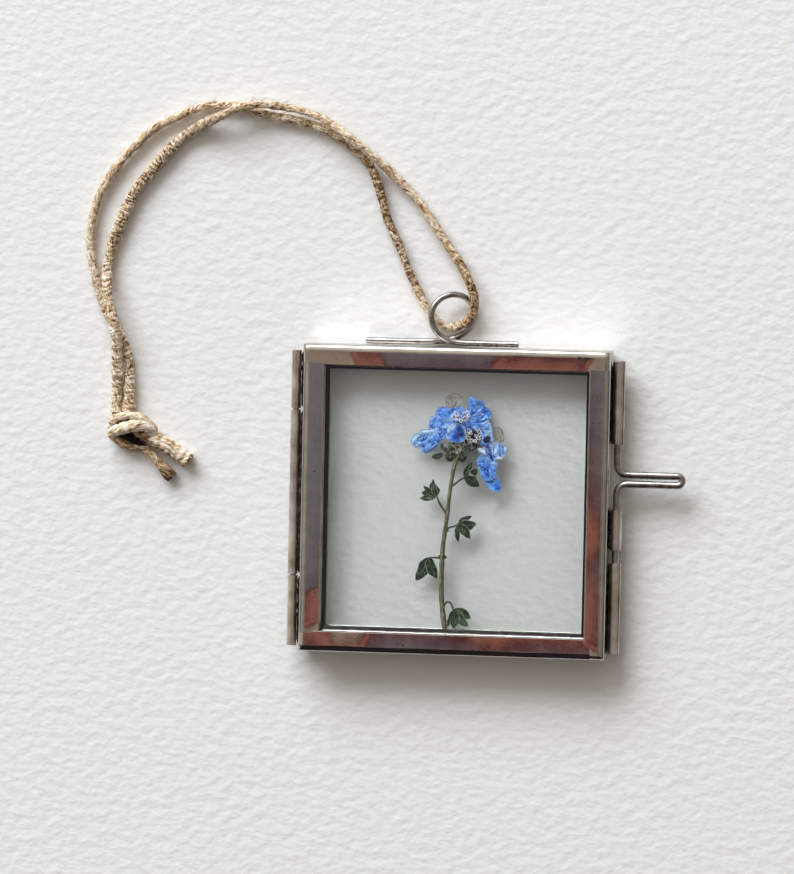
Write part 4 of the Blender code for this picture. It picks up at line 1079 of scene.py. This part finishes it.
def petal_finish(name, colours, dark_rim, pale_rim, radial=False):
    """Dried petal tissue. Its tone is a noise in clouds of 2 mm, plus streaks along the
    petal from its UV (out from its middle where it is radial), less thin creases about
    2.5 mm apart, where a second noise crosses its mean: these are painted shade in the
    folds that the same noise bumps in. Inside the rim runs a pale band, and round it a
    dark line."""
    add, shader, finish = new_finish(name)
    place = add("TexCoord")
    cloudy = add("TexNoise", place["Object"], Scale=500.0, Detail=2.0,
                 Distortion=0.6)["Fac"]
    creased = add("TexNoise", place["Object"], Scale=400.0, Detail=1.5,
                  Distortion=1.6)["Fac"]
    creased = add("Math", creased, 0.5, operation="SUBTRACT")[0]
    creased = add("Math", creased, operation="ABSOLUTE")[0]
    # painted shade: the colour is darkened along the creases that the same noise bumps in
    crease = add("MapRange", creased, 0.0, 0.030, -0.52, 0.03,
                 interpolation_type="SMOOTHSTEP")[0]
    if radial:
        from_middle = add("VectorMath", place["UV"], (0.42, 0.5, 0.0),
                          operation="SUBTRACT")["Vector"]
        out = add("VectorMath", from_middle, operation="LENGTH")["Value"]
        stretch = add("VectorMath", from_middle, operation="NORMALIZE")["Vector"]
        stretch = add("VectorMath", stretch, (2.6, 2.6, 2.6),
                      operation="MULTIPLY")["Vector"]
        crease = add("Math", out, 1.05, -0.34, operation="MULTIPLY_ADD")[0]
    else:
        stretch = add("Mapping", place["UV"], Scale=(1.1, 8.0, 1.0))["Vector"]
    veins = add("TexNoise", stretch, Scale=1.7, Detail=3.0)["Fac"]
    tone = add("Math", cloudy, 1.35, crease, operation="MULTIPLY_ADD")[0]
    tone = add("Math", veins, 0.55, tone, operation="MULTIPLY_ADD")[0]
    tone = add("Math", tone, -0.41, operation="ADD")[0]
    colour = add("ValToRGB", tone, stops=list(zip(
        (0.18, 0.36, 0.52, 0.66, 0.84), colours)))["Color"]
    off = edge_share(add, True)
    for low, high, share, shade in ((0.38, 0.45, 0.45, pale_rim),
                                    (0.465, 0.492, 0.75, dark_rim)):
        band = add("MapRange", off, low, high, 0.0, share,
                   interpolation_type="SMOOTHSTEP")[0]
        colour = add("MixRGB", band, colour, tint(shade))["Color"]
    folds = add("Bump", Height=creased, Strength=0.7, Distance=0.0010)["Normal"]
    feed(shader, {
        "Base Color": colour, "Roughness": 0.55, "Specular IOR Level": 0.25,
        "Normal": add("Bump", Height=cloudy, Strength=0.4, Distance=0.00016,
                      Normal=folds)["Normal"]})
    return finish


blue_petal = petal_finish("dried_blue_petal", (
    "#183f98", "#3670d8", "#5e9ffc", "#86baff", "#b8daff"), "#1f4498", "#a9d0ff")
light_petal = petal_finish("dried_light_blue_petal", (
    "#2450a6", "#4684e4", "#76b0fe", "#a0ccff", "#d4eaff"), "#2952a8", "#cde5ff")
bud_petal = petal_finish("dried_blue_bud", (
    "#0e2a6c", "#1f50ac", "#3a79da", "#6aa4f4", "#bddcff"), "#c4dcfc", "#86b4f4",
    radial=True)
pale_petal = petal_finish("dried_pale_petal", (
    "#3566bc", "#6ea2ec", "#9cc6fc", "#c6dfff", "#eef6ff"), "#4a7cc9", "#f4f8ff")

# Each petal's node, foot, tip, width, and the layer that it lies in.
PETALS = [
    ("petal_left_outer", (-2.7, 10.7), (-4.2, 13.6), 1.9, 1),
    ("petal_left_drooping_fold", (-3.2, 9.7), (-5.6, 7.9), 1.6, 1),
    ("petal_top_left", (-0.5, 12.6), (-1.1, 15.2), 2.3, 1),
    ("petal_upper_right_back", (2.9, 13.6), (3.4, 16.7), 2.2, 0),
    ("petal_left_drooping", (-2.7, 10.4), (-7.4, 9.3), 2.9, 2),
    ("petal_upper_left", (-1.0, 12.5), (-3.1, 15.0), 2.6, 2),
    ("petal_upright", (2.3, 13.9), (2.3, 17.2), 1.1, 1),
    ("petal_upper_right", (2.9, 12.9), (5.2, 15.1), 2.8, 2),
    ("petal_pale_right", (4.2, 8.2), (8.2, 8.5), 2.4, 2),
    ("petal_drooping_tip", (5.1, 4.7), (7.2, 1.8), 2.1, 2),
    ("petal_left_inner", (-1.6, 10.2), (-3.2, 12.4), 2.1, 3),
    ("petal_middle", (-0.8, 11.2), (0.6, 13.1), 3.2, 3),
    ("petal_right_column", (4.8, 8.9), (5.0, 13.1), 2.0, 3),
    ("petal_drooping", (4.9, 7.9), (5.3, 3.4), 2.9, 3),
    ("petal_left_crown", (-1.4, 12.1), (-3.3, 13.2), 1.4, 4),
    ("petal_right_round", (2.4, 12.6), (5.2, 13.5), 2.4, 4),
    ("petal_pale_fold", (5.1, 8.0), (3.5, 8.5), 1.0, 4),
    ("petal_front_bud", (0.0, 9.5), (-0.1, 12.7), 3.0, 5),
]
# Folds and lobes of the same petals that show beside their main blade: foot, tip,
# width and layer.
LOBES = {
    "petal_left_outer": [((-3.0, 11.2), (-4.6, 12.4), 1.3, 1.5)],
    "petal_left_drooping": [((-6.9, 9.0), (-4.2, 10.3), 1.1, 2.5),
                            ((-5.4, 8.0), (-3.4, 9.6), 0.8, 2.4)],
    "petal_upper_left": [((-3.3, 13.7), (-1.4, 14.4), 0.9, 2.5)],
    "petal_middle": [((0.2, 12.4), (1.6, 14.7), 2.4, 1),
                     ((1.0, 11.2), (2.4, 13.3), 1.9, 2)],
    "petal_top_left": [((-0.1, 13.0), (0.8, 15.4), 1.9, 0.7)],
    "petal_upper_right": [((2.0, 13.6), (3.6, 14.6), 1.4, 2.5)],
    "petal_right_column": [((4.0, 11.6), (5.0, 9.4), 1.0, 3.4)],
    "petal_drooping": [((4.5, 6.9), (4.7, 4.2), 0.9, 3.4),
                       ((5.9, 6.6), (5.9, 4.4), 0.7, 3.5)],
    "petal_pale_right": [((5.6, 7.4), (7.8, 7.6), 1.0, 2.6),
                         ((4.6, 9.2), (5.9, 8.9), 0.9, 2.5)],
}
finishes = {"petal_pale_right": (pale_petal, "pale_petal"),
            "petal_pale_fold": (pale_petal, "pale_petal"),
            "petal_left_crown": (light_petal, "pale_petal"),
            "petal_right_round": (light_petal, "pale_petal"),
            "petal_left_drooping": (light_petal, "blue_petal"),
            "petal_left_outer": (light_petal, "blue_petal"),
            "petal_upper_right_back": (light_petal, "blue_petal"),
            "petal_front_bud": (bud_petal, "blue_petal")}
PETAL_LOWEST, PETAL_STEP = 2.46, 0.205  # heights of the lowest layer and between two
for seed, (node, foot, tip, width, layer) in enumerate(PETALS):
    finish, slot = finishes.get(node, (blue_petal, "blue_petal"))
    dome = 0.07 if node == "petal_front_bud" else 0.0
    blades = [pressed_blade(foot, tip, width * 1.08,
                            PETAL_LOWEST + PETAL_STEP * layer - dome * 0.6,
                            400 + 10 * seed, fullness=0.8, wave=0.03 if dome else 0.17,
                            crease=0.08, dome=dome, rows=40, columns=27)]
    for extra, (foot, tip, width, layer) in enumerate(LOBES.get(node, [])):
        blades.append(pressed_blade(foot, tip, width, PETAL_LOWEST + PETAL_STEP * layer,
                                    405 + 10 * seed + extra, fullness=0.9, wave=0.18,
                                    columns=17))
    add_blades(node + "_dried", blades, finish, node)

# The faded petals: a skin that light goes through, held out by brown rims and veins,
# both mottled about every millimetre.
faded_skin = mottled_finish(
    "faded_petal_skin", {"Scale": 900.0, "Detail": 4.0},
    [(0.35, "#a8a490"), (0.5, "#d8d8cd"), (0.7, "#f4f5f2")],
    {"Roughness": 0.6, "Alpha": 0.13}, relief=(0.6, 0.0001))
faded_vein = mottled_finish("faded_petal_vein", {"Scale": 1100.0}, [
    (0.35, "#544c3a"), (0.5, "#948a70"), (0.68, "#c9c6b4")], {"Roughness": 0.7})


def vein_shells(foot, tip, width, height, seed):
    """A petal's rim, a fold inside it and its veins as thin tubes: the rim is the
    blade's own oval, and each vein runs from near the foot to a point of it, bowed and
    wandering a little."""
    foot, along, side = blade_axis(foot, tip)
    chance = np.random.default_rng(seed)
    turn = np.linspace(-0.84 * np.pi, 0.84 * np.pi, 15)
    rim = (foot + along * (0.5 + 0.47 * np.cos(turn))[:, None]
           + side * (0.5 * width * np.sin(turn) * (1 + 0.14 * wander(turn * 2, 2, seed))
                     )[:, None])
    inner = foot + along * 0.42 + (rim - foot - along * 0.42) * (
        0.74 + 0.06 * wander(turn * 2, 3, seed + 9))[:, None]
    routes = [rim, inner[2:-2]]
    for place in (3, 5, 7, 9, 11):
        t = np.linspace(0, 1, 5)[:, None]
        start = foot + along * 0.12 + side * chance.uniform(-0.2, 0.2)
        routes.append(start * (1 - t) + rim[place] * t
                      + side * chance.uniform(-0.25, 0.25) * np.sin(np.pi * t)
                      + chance.normal(0, 0.05, (5, 1)) * side)
    shells = []
    for number, route in enumerate(routes):
        path, reach = smooth_route(np.c_[route, np.full(len(route), height)], 0.08)
        size = (0.060 if number == 0 else 0.045) * (
            1 + 0.35 * wander(reach, 1.1, seed + number))
        rings = ring_round(path, size[:, None], full_turn(8))
        shells.append((rings, tube_faces(*rings.shape[:2])))
    return shells


for seed, (node, foot, tip, width) in enumerate((
        ("petal_faded_top", (-0.5, 14.5), (-0.4, 17.5), 3.0),
        ("petal_faded_right", (5.5, 8.7), (6.9, 12.2), 2.5))):
    blade = pressed_blade(foot, tip, width, PETAL_LOWEST, 600 + seed, crease=0.07,
                          rows=36, columns=23)
    add_blades(node + "_skin", [blade], faded_skin, node)
    veins = vein_shells(foot, tip, width, PETAL_LOWEST + 0.06, 640 + 10 * seed)
    fit(add_mesh(node + "_veins", veins, faded_vein), "back")

# ---------------------------------------------------------------------------------
# The open heart: a near-black navy throat, grained finer than a millimetre, and crowded
# pale stamens with curled ends.
throat_tissue = mottled_finish(
    "dried_throat", {"Scale": 1600.0, "Detail": 3.0},
    [(0.35, "#080a18"), (0.55, "#1a2048"), (0.75, "#45498a")],
    {"Roughness": 0.8}, relief=(0.8, 0.0001))
add_blades("throat_dried", [
    pressed_blade((1.55, 10.8), (4.05, 10.9), 2.5, 2.68, 700, fullness=1.0, wave=0.12,
                  crease=0.08, rows=30, columns=21),
    pressed_blade((4.3, 10.0), (5.5, 10.4), 1.1, 3.22, 703, fullness=1.0, wave=0.12)],
    throat_tissue, "flower_throat")

# Stamens: bone-white threads curled tight round dark, shrivelled tips ("dark").
add, shader, dried_filament = new_finish("dried_filament")
tone = add("TexNoise", add("TexCoord")["Object"], Scale=1800.0, Detail=2.0)["Fac"]
thread = add("ValToRGB", tone, stops=[
    (0.3, "#a29db4"), (0.45, "#e6e3ee"), (0.6, "#ffffff")])["Color"]
dark = add("Attribute", attribute_name="dark")["Fac"]
feed(shader, {"Base Color": add("MixRGB", dark, thread, tint("#0c0d22"))["Color"],
              "Roughness": 0.55})


def curl(centre, radius, thick, seed):
    """A thread curled into a wavering loop round a centre: its radius changes by a
    quarter and its height by a tenth of a millimetre on the way round."""
    turn = np.linspace(0.3, 2 * np.pi + 0.1, 30) + seed
    size = radius * (1 + 0.26 * wander(turn, 2.1, seed))
    path = np.c_[centre[0] + size * np.cos(turn), centre[1] + size * np.sin(turn),
                 centre[2] + 0.07 * wander(turn, 2.6, seed + 1)]
    rings = ring_round(path, (thick * (1 + 0.3 * wander(turn, 0.9, seed + 2)))[:, None],
                       full_turn(8))
    return rings, tube_faces(30, 8)


def anther(centre, radius, seed):
    """A shrivelled tip: a small ball, longer one way, with a lumpy skin."""
    t = np.linspace(0.05, np.pi - 0.05, 8)[:, None]
    turn = full_turn(10)[None]
    ball = np.stack(np.broadcast_arrays(np.sin(t) * np.cos(turn) * 1.3,
                                        np.sin(t) * np.sin(turn), np.cos(t) * 0.7), -1)
    ball = ball * (1 + 0.15 * wander(ball, 1.0, seed))[..., None] * radius
    return ball + np.array(centre), tube_faces(8, 10)


for node, curls, tips, height in (
        ("stamens_upper",
         [(-0.70, 13.45, 0.24), (-0.50, 13.95, 0.24), (-0.15, 14.35, 0.24),
          (0.15, 14.00, 0.20), (-0.10, 13.50, 0.24), (0.30, 13.40, 0.22),
          (0.68, 13.18, 0.24), (1.05, 13.35, 0.22), (0.95, 13.85, 0.22),
          (1.25, 14.35, 0.24), (1.70, 14.45, 0.26), (1.95, 14.05, 0.22),
          (1.55, 13.75, 0.22), (1.60, 13.30, 0.20)],
         [(-0.42, 13.72), (-0.02, 14.18), (0.16, 13.66), (1.08, 14.08), (1.48, 14.12),
          (1.32, 13.52)], 3.54),
        ("stamens_lower",
         [(1.95, 11.50, 0.24), (1.80, 10.95, 0.22), (1.95, 10.35, 0.24),
          (2.45, 9.95, 0.22), (3.05, 9.90, 0.20), (3.55, 10.35, 0.24),
          (3.80, 10.90, 0.22), (3.70, 11.40, 0.24), (3.20, 11.75, 0.22),
          (2.35, 11.15, 0.18), (3.15, 10.75, 0.18)],
         [(2.30, 10.60), (3.35, 11.15), (2.75, 10.25)], 3.16)):
    threads = [curl((x, y, height), radius * 1.08, 0.074, 800 + number)
               for number, (x, y, radius) in enumerate(curls)]
    ends = [anther((x, y, height + 0.02), 0.15, 850 + number)
            for number, (x, y) in enumerate(tips)]
    dark = np.repeat([0, 1], [sum(points[..., 0].size for points, faces in shells)
                              for shells in (threads, ends)])
    fit(add_mesh(node + "_dried", threads + ends, dried_filament, dark=dark),
        "back", node)
